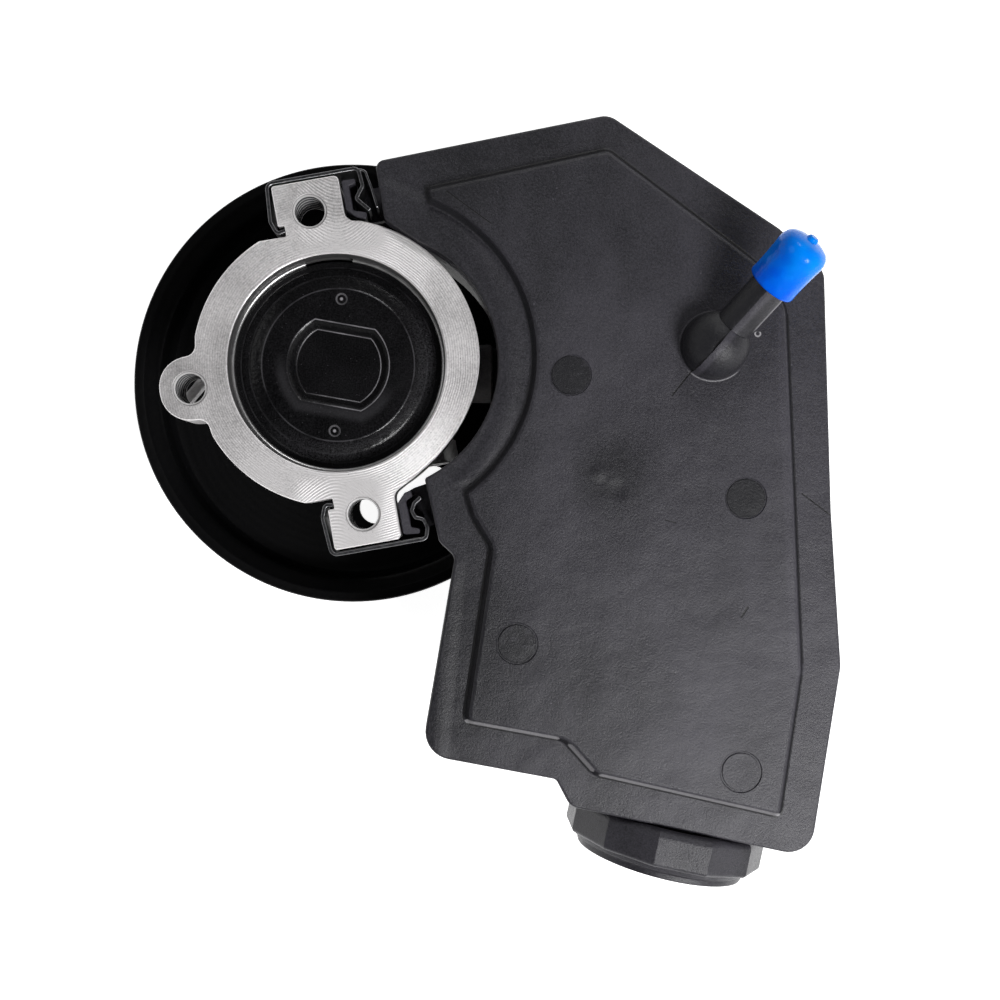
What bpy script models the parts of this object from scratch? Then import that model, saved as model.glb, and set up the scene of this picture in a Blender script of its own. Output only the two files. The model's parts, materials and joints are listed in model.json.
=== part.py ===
"""Vane pump for power steering, with its pulley and the fluid reservoir that wraps its side.

The pump lies on the front rim of its pulley with the shaft axis upright. The origin is on the shaft
axis, on the floor of the pocket in the end cover, and +Z points out of the rear of the pump.
Depths are counted downwards from the machined rear face of the housing.
"""

import math

import bmesh
import bpy
from mathutils import Matrix, Vector

MM = 0.001
SEAT = 0.3 * MM  # gap between pieces that touch on the real pump
RUN = 0.25 * MM  # running clearance round a free turning or sliding piece
FIT = 0.08 * MM  # clearance of a shaft or spool in its bore
CHORD = math.radians(9)  # largest step along an arc in an outline
CORNER_CHORD = math.radians(20)  # largest step round a corner
TIGHTEST_CORNER = 0.1 * MM
WIDE_CORNER_R = 25.0 * MM
ROUND = 36  # sides of a large round
SMALL_ROUND = 20  # sides of a small round
HIDDEN_ROUND = 24  # sides of a round inside the housing
SHAFT_ROUND = 28

# End cover and the bore it closes
COVER_POCKET_DEPTH = 8.0 * MM
COVER_FACE_DEPTH = 5.6 * MM
COVER_FLANGE_DEPTH = 7.2 * MM
COVER_THICKNESS = 4.2 * MM
COVER_PLATEAU_R = 22.2 * MM
COVER_SHOULDER_R = 28.4 * MM
POCKET_R = 12.3 * MM
POCKET_ACROSS_FLATS = 18.8 * MM
POCKET_SLOPE = 2.4 * MM
DIMPLE_R = 1.5 * MM
DIMPLE_AT = 19.2 * MM
DIMPLE_DEPTH = 0.6 * MM
BORE_R = 31.1 * MM
BORE_CHAMFER = 0.5 * MM
WIRE_R = 0.85 * MM
WIRE_GAP_FROM = 108.0
WIRE_GAP_TO = 134.0
PRY_HOLE_R = 1.6 * MM
COVER_SEAL_R = 1.4 * MM

# Rotating group
PRESSURE_PLATE_THICKNESS = 6.5 * MM
SPRING_SPACE = 4.4 * MM
SPRING_WIRE_R = 0.9 * MM
SPRING_SMALL_R = 14.0 * MM
SPRING_LARGE_R = 23.0 * MM
CAM_THICKNESS = 15.0 * MM
CAM_MINOR_R = 23.2 * MM
CAM_LIFT = 2.3 * MM
THRUST_PLATE_THICKNESS = 3.6 * MM
PLATE_HOLE_R = 12.4 * MM
DOWEL_R = 1.5 * MM
DOWEL_WALL = 1.3 * MM
VANE_COUNT = 10
VANE_THICKNESS = 1.5 * MM
VANE_LENGTH = 8.2 * MM
SHAFT_R = 8.0 * MM
SPLINE_R = 7.6 * MM
SPLINE_DEPTH = 0.9 * MM
SPLINE_TEETH = 12
CIRCLIP_THICKNESS = 1.2 * MM
CIRCLIP_WALL = 1.9 * MM

# Housing casting
RING_WIDTH = 10.05 * MM
RING_RELIEF = 1.8 * MM
RELIEF_AT = -42.0
RELIEF_SPREAD = 52.0
FACE_PLATE_THICKNESS = 16.0 * MM
BARREL_WALL = 5.9 * MM
FLOOR_THICKNESS = 3.0 * MM
NOSE_WALL = 7.0 * MM
NOSE_LENGTH = 21.0 * MM
EAR_TILT = 10.0
EAR_REACH = 2.85 * MM
EAR_HALF_WIDTH = 9.7 * MM
EAR_MARGIN = 8.8 * MM
EAR_CORNER_R = 1.6 * MM
EAR_FILLET_R = 3.0 * MM
NOTCH_WIDTH = 3.1 * MM
NOTCH_DEPTH = 1.9 * MM
NOTCH_BELOW_HOLE = 2.9 * MM
SIDE_EAR_REACH = 1.35 * MM
SIDE_EAR_R = 8.7 * MM
EAR_HOLE_R = 4.6 * MM
EAR_HOLE_CHAMFER = 0.5 * MM
EAR_RIB_THICKNESS = 4.0 * MM
BUSH_WALL = 2.3 * MM
BUSH_LENGTH = 13.0 * MM
SEAL_R = 14.0 * MM
SEAL_LENGTH = 6.0 * MM

# Flow control bore, across the front of the housing
FLOW_OFFSET = 21.0 * MM
FLOW_BORE_R = 7.0 * MM
FLOW_WALL = 3.4 * MM
FLOW_BORE_FROM = -28.0 * MM
FLOW_BOSS_TO = 22.0 * MM
SPOOL_LENGTH = 26.0 * MM
SPOOL_TRAVEL = 5.0 * MM
SPOOL_GROOVE_R = 4.6 * MM
FLOW_SPRING_R = 4.4 * MM
FLOW_SPRING_WIRE_R = 0.7 * MM
FLOW_SPRING_TURNS = 5
FITTING_HEX_R = 9.4 * MM
FITTING_CLEARANCE = 0.6 * MM
FITTING_HEX_LENGTH = 7.6 * MM
FITTING_THREAD_LENGTH = 9.0 * MM
FITTING_BORE_R = 4.4 * MM

# Pulley
PULLEY_R = 73.0 * MM
PULLEY_WIDTH = 28.0 * MM
PULLEY_REAR_DEPTH = 57.0 * MM
RIB_COUNT = 6
RIB_PITCH = 3.56 * MM
RIB_DEPTH = 2.6 * MM
LIP_HEIGHT = 2.2 * MM
LIP_THICKNESS = 2.4 * MM
PULLEY_WALL = 2.8 * MM
WEB_THICKNESS = 3.0 * MM
WEB_SETBACK = 9.0 * MM
WEB_DISH = 4.0 * MM
WEB_INNER_R = 25.0 * MM
WINDOW_COUNT = 3
WINDOW_R = 42.0 * MM
WINDOW_HALF_WIDTH = 5.6 * MM
WINDOW_SWEEP = 30.0
WINDOW_AT = -66.0
HUB_R = 14.5 * MM
HUB_RECESS = 1.2 * MM
HUB_FLANGE_R = 22.0 * MM
PULLER_GROOVE_DEPTH = 2.2 * MM
PULLER_GROOVE_WIDTH = 3.0 * MM
PULLER_THREAD_R = 4.2 * MM
PULLER_THREAD_LENGTH = 16.0 * MM

# Reservoir, two moulded halves welded behind a flange
WALL = 2.6 * MM
FLANGE_RISE = 3.0 * MM
FLANGE_THICKNESS = 4.0 * MM
FLANGE_WIDTH = 4.0 * MM
PANEL_RISE = 3.0 * MM
PANEL_EDGE_R = 2.0 * MM
PANEL_MARGIN = 9.4 * MM
PANEL_HORN_SETBACK = 3.4 * MM
UPPER_PANEL_HORN_AT = 58.0
LOWER_PANEL_HORN_AT = -44.4
FLANGE_EDGE = 0.9 * MM
TUB_DEPTH = 50.0 * MM
TUB_EDGE_R = 4.0 * MM
TUB_DRAFT = 1.0 * MM
WELD_STEP = 0.3 * MM
SADDLE_GAP = 5.0 * MM
HORN_GAP = 0.75 * MM
UPPER_HORN_AT = 53.0
LOWER_HORN_AT = -51.0
HORN_EDGE_R = 0.8 * MM
SADDLE_STRAIGHT = 0.6 * MM
PORT_DEPTH = 30.0 * MM
PORT_BOSS_R = 9.0 * MM
PORT_SPIGOT_R = 5.6 * MM
PORT_BORE_R = 3.6 * MM
PORT_SEAL_THICKNESS = 2.4 * MM
PORT_PAD = 1.6 * MM
LUG_THICKNESS = 2.2 * MM
LUG_FROM = 40.8 * MM
LUG_HOOK = 2.2 * MM
LUG_SHELF = 3.0 * MM
SHELF_REACH = 18.0 * MM
CLIP_THICKNESS = 1.2 * MM
CLIP_WIDTH = 12.0 * MM
CLIP_SETBACK = 1.0 * MM
CLIP_GAP = 0.7 * MM
CLIP_REACH = 16.6 * MM

# Return nozzle on the rear half
ELBOW_AT = (106.6 * MM, 3.9 * MM)
ELBOW_R = 9.7 * MM
ELBOW_RISE = 3.0 * MM
NOZZLE_R = 4.9 * MM
NOZZLE_BORE_R = 3.2 * MM
NOZZLE_LENGTH = 36.0 * MM
NOZZLE_HEADING = 50.0
NOZZLE_ELEVATION = 33.0
NOZZLE_BARB = 0.6 * MM
DUST_CAP_WALL = 1.7 * MM
DUST_CAP_LENGTH = 17.5 * MM
DUST_CAP_TIP_R = 1.6 * MM

# Filler neck, cap and dipstick
FILLER_HEADING = -102.0
FILLER_AT = (96.9 * MM, -141.5 * MM)
FILLER_DEPTH = 22.0 * MM
NECK_R = 18.6 * MM
NECK_BORE_R = 16.0 * MM
NECK_END = 118.0 * MM
CAP_R = 29.6 * MM
CAP_OVER_NECK = 7.6 * MM
CAP_GRIP_LENGTH = 10.2 * MM
CAP_DISC_R = 25.0 * MM
CAP_DISC_RISE = 3.9 * MM
CAP_LOBES = 6
CAP_SCALLOP = 1.7 * MM
CAP_WALL = 2.2 * MM
CAP_COLLAR_WALL = 2.0 * MM
CAP_CEILING = 2.8 * MM
CAP_SEAL_WALL = 3.0 * MM
CAP_LIFT = 70.0 * MM
DIPSTICK_WIDTH = 7.0 * MM
DIPSTICK_THICKNESS = 1.8 * MM
DIPSTICK_LENGTH = 62.0 * MM
DIPSTICK_PLATE_R = 12.0 * MM

# Levels worked out from the sizes above
REAR_FACE = COVER_POCKET_DEPTH


def level(depth):
    """Height of a plane that lies this far below the machined rear face."""
    return REAR_FACE - depth


RING_R = BORE_R + RING_WIDTH
BARREL_R = BORE_R + BARREL_WALL
EAR_PITCH_R = RING_R + EAR_REACH
SIDE_EAR_PITCH_R = RING_R + SIDE_EAR_REACH
NOSE_R = SEAL_R + NOSE_WALL
COVER_UNDERSIDE_DEPTH = COVER_FLANGE_DEPTH + COVER_THICKNESS
PRESSURE_PLATE_DEPTH = COVER_UNDERSIDE_DEPTH + SPRING_SPACE
CAM_DEPTH = PRESSURE_PLATE_DEPTH + PRESSURE_PLATE_THICKNESS + SEAT
THRUST_PLATE_DEPTH = CAM_DEPTH + CAM_THICKNESS + SEAT
CAVITY_DEPTH = THRUST_PLATE_DEPTH + THRUST_PLATE_THICKNESS + SEAT
FLOW_DEPTH = CAVITY_DEPTH + FLOOR_THICKNESS + FITTING_HEX_R + FITTING_CLEARANCE
FLOW_BOSS_R = FLOW_BORE_R + FLOW_WALL
NOSE_DEPTH = CAVITY_DEPTH + FLOOR_THICKNESS + NOSE_LENGTH
PULLEY_FRONT_DEPTH = PULLEY_REAR_DEPTH + PULLEY_WIDTH
WEB_DEPTH = PULLEY_FRONT_DEPTH - WEB_SETBACK - WEB_THICKNESS
HUB_WEB_DEPTH = WEB_DEPTH - WEB_DISH
SHAFT_REAR_DEPTH = PRESSURE_PLATE_DEPTH + 0.5 * PRESSURE_PLATE_THICKNESS
GROUP_R = BORE_R - SEAT
PORT_PAD_X = RING_R + SADDLE_GAP + FLANGE_WIDTH - PORT_PAD
FLANGE_TOP = REAR_FACE + FLANGE_RISE
WELD_LEVEL = FLANGE_TOP - FLANGE_THICKNESS
PANEL_TOP = FLANGE_TOP + PANEL_RISE
TUB_FLOOR = level(TUB_DEPTH)
EAR_END = EAR_PITCH_R + EAR_MARGIN
CAP_GRIP_FROM = NECK_END - CAP_OVER_NECK
CAP_GRIP_TO = CAP_GRIP_FROM + CAP_GRIP_LENGTH
CAP_DISC_TO = CAP_GRIP_TO + CAP_DISC_RISE


def polar(radius, degrees):
    angle = math.radians(degrees)
    return radius * math.cos(angle), radius * math.sin(angle)


def arc(centre, radius, start, end, steps=None):
    """Points along an arc, angles in degrees."""
    steps = steps or max(2, math.ceil(math.radians(abs(end - start)) / CHORD))
    angles = [start + (end - start) * i / steps for i in range(steps + 1)]
    return [(centre[0] + polar(radius, a)[0], centre[1] + polar(radius, a)[1]) for a in angles]


def circle(radius, sides=ROUND, centre=(0.0, 0.0)):
    points = (polar(radius, 360.0 * i / sides) for i in range(sides))
    return [(centre[0] + x, centre[1] + y) for x, y in points]


def rounded(corners):
    """Closed outline through corners (x, y, radius), each corner turned into an arc."""
    outline = []
    for i, (x, y, radius) in enumerate(corners):
        here = Vector((x, y))
        back = (Vector(corners[i - 1][:2]) - here).normalized()
        ahead = (Vector(corners[(i + 1) % len(corners)][:2]) - here).normalized()
        opening = back.angle(ahead)
        if radius <= 0.0 or opening > math.pi - 1e-3:
            outline.append((x, y))
            continue
        centre = here + (back + ahead).normalized() * (radius / math.sin(opening / 2))
        reach = radius / math.tan(opening / 2)
        start = here + back * reach - centre
        end = here + ahead * reach - centre
        turn = math.atan2(start.x * end.y - start.y * end.x, start.dot(end))
        chord = CORNER_CHORD if radius < WIDE_CORNER_R else 0.4 * CORNER_CHORD
        steps = max(1, math.ceil(abs(turn) / chord - 0.01))
        for k in range(steps + 1):
            spoke = Matrix.Rotation(turn * k / steps, 2) @ start
            outline.append(tuple(centre + spoke))
    return outline


def inset(corners, distance):
    """The same corners with every edge of the clockwise outline moved inwards."""
    moved = []
    for i, (x, y, radius) in enumerate(corners):
        here = Vector((x, y))
        before = (here - Vector(corners[i - 1][:2])).normalized()
        after = (Vector(corners[(i + 1) % len(corners)][:2]) - here).normalized()
        inward = Vector((before.y + after.y, -before.x - after.x)).normalized()
        reach = distance / math.cos(before.angle(after) / 2)
        convex = before.x * after.y - before.y * after.x < 0.0
        changed = radius - distance if convex else radius + distance
        place = here + inward * reach
        moved.append((place.x, place.y, max(TIGHTEST_CORNER, changed)))
    return moved


def new_object(name, mesh_data, finish, parent=None):
    mesh = bpy.data.meshes.new(name)
    if mesh_data.calc_volume(signed=True) < 0.0:
        bmesh.ops.reverse_faces(mesh_data, faces=mesh_data.faces)
    mesh_data.to_mesh(mesh)
    mesh_data.free()
    mesh.shade_smooth()
    mesh.set_sharp_from_angle(angle=math.radians(30))
    thing = bpy.data.objects.new(name, mesh)
    bpy.context.collection.objects.link(thing)
    if finish:
        mesh.materials.append(material(name, *finish))
    if parent:
        thing.parent = parent
        thing.matrix_parent_inverse = parent.matrix_world.inverted()
    return thing


def material(name, colour, roughness, metallic):
    made = bpy.data.materials.new(name)
    made.use_nodes = True
    shader = made.node_tree.nodes["Principled BSDF"]
    shader.inputs["Base Color"].default_value = (*colour, 1.0)
    shader.inputs["Roughness"].default_value = roughness
    shader.inputs["Metallic"].default_value = metallic
    return made


ALUMINIUM = ((0.72, 0.71, 0.70), 0.38, 1.0)
STEEL = ((0.55, 0.55, 0.56), 0.35, 1.0)
SPRING_STEEL = ((0.09, 0.09, 0.10), 0.35, 1.0)
BLACK_PAINT = ((0.012, 0.012, 0.013), 0.35, 0.0)
BLACK_PLASTIC = ((0.028, 0.028, 0.031), 0.45, 0.0)
RUBBER = ((0.02, 0.02, 0.02), 0.7, 0.0)
BRONZE = ((0.55, 0.36, 0.18), 0.4, 1.0)
BLUE_VINYL = ((0.005, 0.16, 0.85), 0.3, 0.0)


def loft(name, sections, finish=None, parent=None):
    """Closed solid through a stack of (outline, height) sections with equal point counts."""
    data = bmesh.new()
    rings = []
    for outline, height in sections:
        rings.append([data.verts.new((x, y, height)) for x, y in outline])
    for low, high in zip(rings, rings[1:]):
        for i in range(len(low)):
            data.faces.new((low[i - 1], low[i], high[i], high[i - 1]))
    data.faces.new(rings[0][::-1])
    data.faces.new(rings[-1])
    return new_object(name, data, finish, parent)


def prism(name, outline, low, high, finish=None, parent=None):
    return loft(name, [(outline, low), (outline, high)], finish, parent)


def turned(name, profile, finish=None, parent=None, sides=ROUND, frame=Matrix()):
    """Solid of revolution about local Z of a closed profile of (radius, height) points."""
    data = bmesh.new()
    points = [data.verts.new((r, 0.0, z)) for r, z in profile]
    edges = [data.edges.new((points[i - 1], points[i])) for i in range(len(points))]
    bmesh.ops.spin(
        data,
        geom=points + edges,
        cent=(0, 0, 0),
        axis=(0, 0, 1),
        angle=2 * math.pi,
        steps=sides,
        use_merge=True,
    )
    bmesh.ops.remove_doubles(data, verts=data.verts, dist=1e-6)
    bmesh.ops.dissolve_degenerate(data, edges=data.edges, dist=1e-6)
    on_axis = [e for e in data.edges if all(math.hypot(v.co.x, v.co.y) < 1e-6 for v in e.verts)]
    bmesh.ops.delete(data, geom=on_axis, context="EDGES")
    data.transform(frame)
    return new_object(name, data, finish, parent)


def rod(name, radius, start, end, finish=None, parent=None, sides=SMALL_ROUND, end_radius=None):
    """Round bar or cone between two points."""
    start, end = Vector(start), Vector(end)
    tip_r = radius if end_radius is None else end_radius
    frame = Matrix.Translation(start) @ direction_frame(end - start)
    length = (end - start).length
    data = bmesh.new()
    bmesh.ops.create_cone(
        data, cap_ends=True, segments=sides, radius1=radius, radius2=tip_r, depth=length
    )
    data.transform(frame @ Matrix.Translation((0, 0, length / 2)))
    return new_object(name, data, finish, parent)


def direction_frame(direction):
    return Vector(direction).to_track_quat("Z", "Y").to_matrix().to_4x4()


def coil(name, radii, wire_r, start, end, turns, finish, sides=4, per_turn=9):
    """Helical spring from start to end, its radius running from the first value to the second."""
    start, end = Vector(start), Vector(end)
    frame = Matrix.Translation(start) @ direction_frame(end - start)
    length = (end - start).length
    curve = bpy.data.curves.new(name, "CURVE")
    curve.dimensions = "3D"
    curve.bevel_depth = wire_r
    curve.bevel_resolution = (sides - 4) // 2
    curve.use_fill_caps = True
    spline = curve.splines.new("POLY")
    count = turns * per_turn
    spline.points.add(count)
    for i, point in enumerate(spline.points):
        share = i / count
        x, y = polar(radii[0] + (radii[1] - radii[0]) * share, 360.0 * i / per_turn)
        z = wire_r + (length - 2 * wire_r) * share
        point.co = (*(frame @ Vector((x, y, z))), 1.0)
    thing = bpy.data.objects.new(name, curve)
    bpy.context.collection.objects.link(thing)
    curve.materials.append(material(name, *finish))
    return thing


def boolean(target, tool, operation):
    tool.hide_render = True
    tool.display_type = "WIRE"
    step = target.modifiers.new(f"{operation.lower()} {tool.name}", "BOOLEAN")
    step.operation = operation
    step.solver = "EXACT"
    step.object = tool


def cut(target, *tools):
    for tool in tools:
        boolean(target, tool, "DIFFERENCE")


def fuse(target, *tools):
    for tool in tools:
        boolean(target, tool, "UNION")


def empty(name, place, turn=None):
    """Guide that stands on a joint's axis and carries the pieces that move with it."""
    guide = bpy.data.objects.new(name, None)
    bpy.context.collection.objects.link(guide)
    guide.matrix_world = Matrix.Translation(place) @ (turn or Matrix())
    bpy.context.view_layer.update()
    return guide


TILT = math.radians(EAR_TILT)
EAR_OUT = Vector((-math.sin(TILT), math.cos(TILT)))
EAR_ACROSS = Vector((math.cos(TILT), math.sin(TILT)))
SIDE_OUT = -EAR_ACROSS
FILLER_DIRECTION = Vector(polar(1.0, FILLER_HEADING))
FILLER_OFFSET = Vector(FILLER_AT) - FILLER_DIRECTION * Vector(FILLER_AT).dot(FILLER_DIRECTION)


def ear_point(side, out, across):
    """Point in the frame of the upper (side 1) or lower (side -1) ear."""
    return tuple(EAR_OUT * out * side + EAR_ACROSS * across)


def ear_outline(side, corners):
    return rounded([(*ear_point(side, out, across), r) for out, across, r in corners])


def cover_profile_points():
    return [
        (0.0, level(COVER_UNDERSIDE_DEPTH)),
        (GROUP_R - 2 * SEAT, level(COVER_UNDERSIDE_DEPTH)),
        (GROUP_R - 2 * SEAT, level(COVER_FLANGE_DEPTH)),
        (COVER_SHOULDER_R, level(COVER_FLANGE_DEPTH)),
        (0.5 * (COVER_SHOULDER_R + COVER_PLATEAU_R), level(COVER_FACE_DEPTH + 0.35 * MM)),
        (COVER_PLATEAU_R, level(COVER_FACE_DEPTH)),
        (0.0, level(COVER_FACE_DEPTH)),
    ]


def pocket_outline(grow):
    """Round pocket with two flats, square to the ear line."""
    half = POCKET_ACROSS_FLATS / 2 + grow
    radius = POCKET_R + grow
    reach = math.degrees(math.asin(half / radius))
    points = arc((0, 0), radius, -EAR_TILT - reach, -EAR_TILT + reach, 14)
    return points + [(-x, -y) for x, y in points]


def end_cover():
    cover = turned("end_cover", cover_profile_points(), BLACK_PAINT)
    pocket = loft(
        "end_cover_pocket",
        [
            (pocket_outline(0.0), level(COVER_POCKET_DEPTH)),
            (pocket_outline(POCKET_SLOPE), level(COVER_FACE_DEPTH)),
            (pocket_outline(POCKET_SLOPE), level(COVER_FACE_DEPTH - MM)),
        ],
    )
    cut(cover, pocket)
    for degrees in (85.0, 265.0):
        x, y = polar(DIMPLE_AT, degrees)
        bottom = (x, y, level(COVER_FACE_DEPTH + DIMPLE_DEPTH))
        top = (x, y, level(COVER_FACE_DEPTH - DIMPLE_DEPTH))
        cut(cover, rod("end_cover_dimple", DIMPLE_R / 2, bottom, top, sides=12, end_radius=1.5 * DIMPLE_R))


def wire_ring(name, radius, wire_r, height, start, end, finish, sides=6):
    """Open ring of round wire, bent along an arc."""
    curve = bpy.data.curves.new(name, "CURVE")
    curve.dimensions = "3D"
    curve.bevel_depth = wire_r
    curve.bevel_resolution = (sides - 4) // 2
    curve.use_fill_caps = True
    spline = curve.splines.new("POLY")
    points = arc((0, 0), radius, start, end)
    spline.points.add(len(points) - 1)
    for place, (x, y) in zip(spline.points, points):
        place.co = (x, y, height, 1.0)
    thing = bpy.data.objects.new(name, curve)
    bpy.context.collection.objects.link(thing)
    curve.materials.append(material(name, *finish))
    return thing


def end_cover_ring():
    return wire_ring(
        "end_cover_ring",
        BORE_R - 0.2 * WIRE_R,
        WIRE_R,
        level(COVER_FLANGE_DEPTH - SEAT - WIRE_R),
        WIRE_GAP_TO,
        WIRE_GAP_FROM + 360.0,
        STEEL,
    )


def round_seal(name, radius, section_r, height, squeeze=1.0):
    """Moulded ring of round section that lies in the plane of the housing face."""
    profile = [
        (radius + section_r * math.cos(a), height + squeeze * section_r * math.sin(a))
        for a in (math.radians(60.0 * i) for i in range(6))
    ]
    return turned(name, profile, RUBBER, sides=HIDDEN_ROUND)


def seals_in_bore():
    round_seal(
        "end_cover_seal",
        GROUP_R - 2 * SEAT - COVER_SEAL_R,
        COVER_SEAL_R,
        level(COVER_UNDERSIDE_DEPTH + SEAT + COVER_SEAL_R),
    )
    section = 0.38 * PRESSURE_PLATE_THICKNESS
    round_seal(
        "pressure_plate_seal",
        GROUP_R - SEAT - section / 2,
        section / 2,
        level(PRESSURE_PLATE_DEPTH + PRESSURE_PLATE_THICKNESS / 2),
    )


def dowel_places():
    return [polar(CAM_MINOR_R + DOWEL_R + DOWEL_WALL, EAR_TILT + turn) for turn in (90.0, 270.0)]


def port_plate(name, top_depth, thickness, outer_r, groove=0.0):
    """Hard plate at one end of the rotor, with the shaft hole, two dowel holes and four ports."""
    top, bottom = level(top_depth), level(top_depth + thickness)
    middle = 0.5 * (top + bottom)
    profile = [(PLATE_HOLE_R, bottom), (outer_r, bottom)]
    if groove:
        half = groove / 2 + SEAT
        profile += [
            (outer_r, middle - half),
            (outer_r - groove - SEAT, middle - half),
            (outer_r - groove - SEAT, middle + half),
            (outer_r, middle + half),
        ]
    profile += [(outer_r, top), (PLATE_HOLE_R, top)]
    plate = turned(name, profile, STEEL, sides=HIDDEN_ROUND)
    for x, y in dowel_places():
        cut(plate, rod(f"{name}_dowel_hole", DOWEL_R + RUN, (x, y, bottom - MM), (x, y, top + MM), sides=8))
    port_r = 0.5 * (PLATE_HOLE_R + CAM_MINOR_R)
    for quarter in range(4):
        x, y = polar(port_r, EAR_TILT + 45.0 + 90.0 * quarter)
        cut(plate, rod(f"{name}_port", 2.2 * MM, (x, y, bottom - MM), (x, y, top + MM), sides=8))


def spline_outline(grow):
    """Straight-sided spline, root to tip and back for each tooth."""
    points = []
    for tooth in range(SPLINE_TEETH):
        for part, radius in enumerate((SPLINE_R - SPLINE_DEPTH, SPLINE_R, SPLINE_R)):
            points.append(polar(radius + grow, (tooth + (part + 0.5) / 3.3) * 360.0 / SPLINE_TEETH))
    return points


def cam_outline():
    """Inner track with two rises, widest across the dowel line's square."""
    points = []
    for i in range(ROUND):
        degrees = 360.0 * i / ROUND
        rise = CAM_LIFT * 0.5 * (1 + math.cos(2 * math.radians(degrees - EAR_TILT)))
        points.append(polar(CAM_MINOR_R + rise, degrees))
    return points


def rotating_group():
    top, bottom = level(CAM_DEPTH), level(CAM_DEPTH + CAM_THICKNESS)
    cam = prism("cam_ring", circle(GROUP_R - SEAT, ROUND), bottom, top, STEEL)
    cut(cam, prism("cam_ring_track", cam_outline(), bottom - MM, top + MM))
    for i, (x, y) in enumerate(dowel_places(), 1):
        ends = level(THRUST_PLATE_DEPTH + THRUST_PLATE_THICKNESS - SEAT), level(PRESSURE_PLATE_DEPTH + SEAT)
        rod(f"dowel_pin_{i}", DOWEL_R, (x, y, ends[0]), (x, y, ends[1]), STEEL, sides=16)
        cut(cam, rod("cam_ring_dowel_hole", DOWEL_R + RUN, (x, y, bottom - MM), (x, y, top + MM), sides=16))
    port_plate("pressure_plate", PRESSURE_PLATE_DEPTH, PRESSURE_PLATE_THICKNESS, GROUP_R - SEAT,
               0.38 * PRESSURE_PLATE_THICKNESS)
    port_plate("thrust_plate", THRUST_PLATE_DEPTH, THRUST_PLATE_THICKNESS, GROUP_R - SEAT)
    coil(
        "pressure_plate_spring",
        (SPRING_LARGE_R, SPRING_SMALL_R),
        SPRING_WIRE_R,
        (0, 0, level(PRESSURE_PLATE_DEPTH - SEAT)),
        (0, 0, level(COVER_UNDERSIDE_DEPTH + SEAT)),
        2,
        STEEL,
        per_turn=20,
    )


def rotor_and_vanes(axis):
    top, bottom = level(CAM_DEPTH + RUN), level(CAM_DEPTH + CAM_THICKNESS - RUN)
    rotor_r = CAM_MINOR_R - 0.4 * MM
    rotor = prism("rotor", circle(rotor_r, ROUND), bottom, top, STEEL, axis)
    cut(rotor, prism("rotor_spline", spline_outline(RUN), bottom - MM, top + MM))
    slot_half = VANE_THICKNESS / 2 + RUN / 2
    for i in range(VANE_COUNT):
        turn = Matrix.Rotation(math.radians(EAR_TILT + 360.0 * i / VANE_COUNT), 4, "Z")
        inner = CAM_MINOR_R - VANE_LENGTH - 0.2 * MM
        slot = prism(
            "rotor_slot",
            [(inner - RUN, -slot_half), (rotor_r + MM, -slot_half), (rotor_r + MM, slot_half), (inner - RUN, slot_half)],
            bottom - MM,
            top + MM,
        )
        slot.data.transform(turn)
        cut(rotor, slot)
        half = VANE_THICKNESS / 2
        vane = loft(
            f"vane_{i + 1:02d}",
            [
                ([(inner, -half), (inner + VANE_LENGTH, -half), (inner + VANE_LENGTH, half), (inner, half)], z)
                for z in (bottom, top)
            ],
            STEEL,
            axis,
        )
        vane.data.transform(turn)


def drive_shaft(axis):
    front = level(PULLEY_FRONT_DEPTH - HUB_RECESS)
    rear = level(SHAFT_REAR_DEPTH)
    spline_from = level(THRUST_PLATE_DEPTH)
    shaft = rod("drive_shaft", SHAFT_R, (0, 0, front), (0, 0, spline_from), STEEL, axis, sides=SHAFT_ROUND)
    groove_low = level(CAM_DEPTH - RUN)
    groove_high = groove_low + CIRCLIP_THICKNESS + RUN
    journal = SPLINE_R - SPLINE_DEPTH - RUN
    fuse(shaft, prism("drive_shaft_spline", spline_outline(0.0), spline_from - MM, groove_low))
    fuse(shaft, rod("drive_shaft_neck", journal - RUN, (0, 0, groove_low - MM), (0, 0, groove_high + MM)))
    fuse(shaft, prism("drive_shaft_end", spline_outline(0.0), groove_high, rear))
    cut(shaft, rod("drive_shaft_puller_hole", PULLER_THREAD_R, (0, 0, front - MM),
                   (0, 0, front + PULLER_THREAD_LENGTH), sides=20))
    clip_outer = journal + CIRCLIP_WALL
    outline = arc((0, 0), clip_outer, 30, 330) + arc((0, 0), journal, 330, 30)
    prism("rotor_circlip", outline, groove_low + RUN / 2, groove_high - RUN / 2, SPRING_STEEL, axis)


def bush_and_seal():
    bush_top = level(CAVITY_DEPTH + SEAT)
    outer = SHAFT_R + FIT + BUSH_WALL
    turned(
        "shaft_bush",
        [
            (SHAFT_R + FIT, bush_top - BUSH_LENGTH),
            (outer, bush_top - BUSH_LENGTH),
            (outer, bush_top),
            (SHAFT_R + FIT, bush_top),
        ],
        BRONZE,
        sides=SHAFT_ROUND,
    )
    front = level(NOSE_DEPTH) + SEAT
    rear = front + SEAL_LENGTH
    turned(
        "shaft_seal",
        [
            (SHAFT_R + RUN, front + 0.35 * SEAL_LENGTH),
            (SHAFT_R + 2.2 * MM, front),
            (SEAL_R, front),
            (SEAL_R, rear),
            (SEAL_R - 1.4 * MM, rear),
            (SEAL_R - 1.4 * MM, front + 1.6 * MM),
            (SHAFT_R + 3.4 * MM, front + 1.6 * MM),
            (SHAFT_R + 1.6 * MM, front + 0.7 * SEAL_LENGTH),
        ],
        RUBBER,
        sides=HIDDEN_ROUND,
    )


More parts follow.
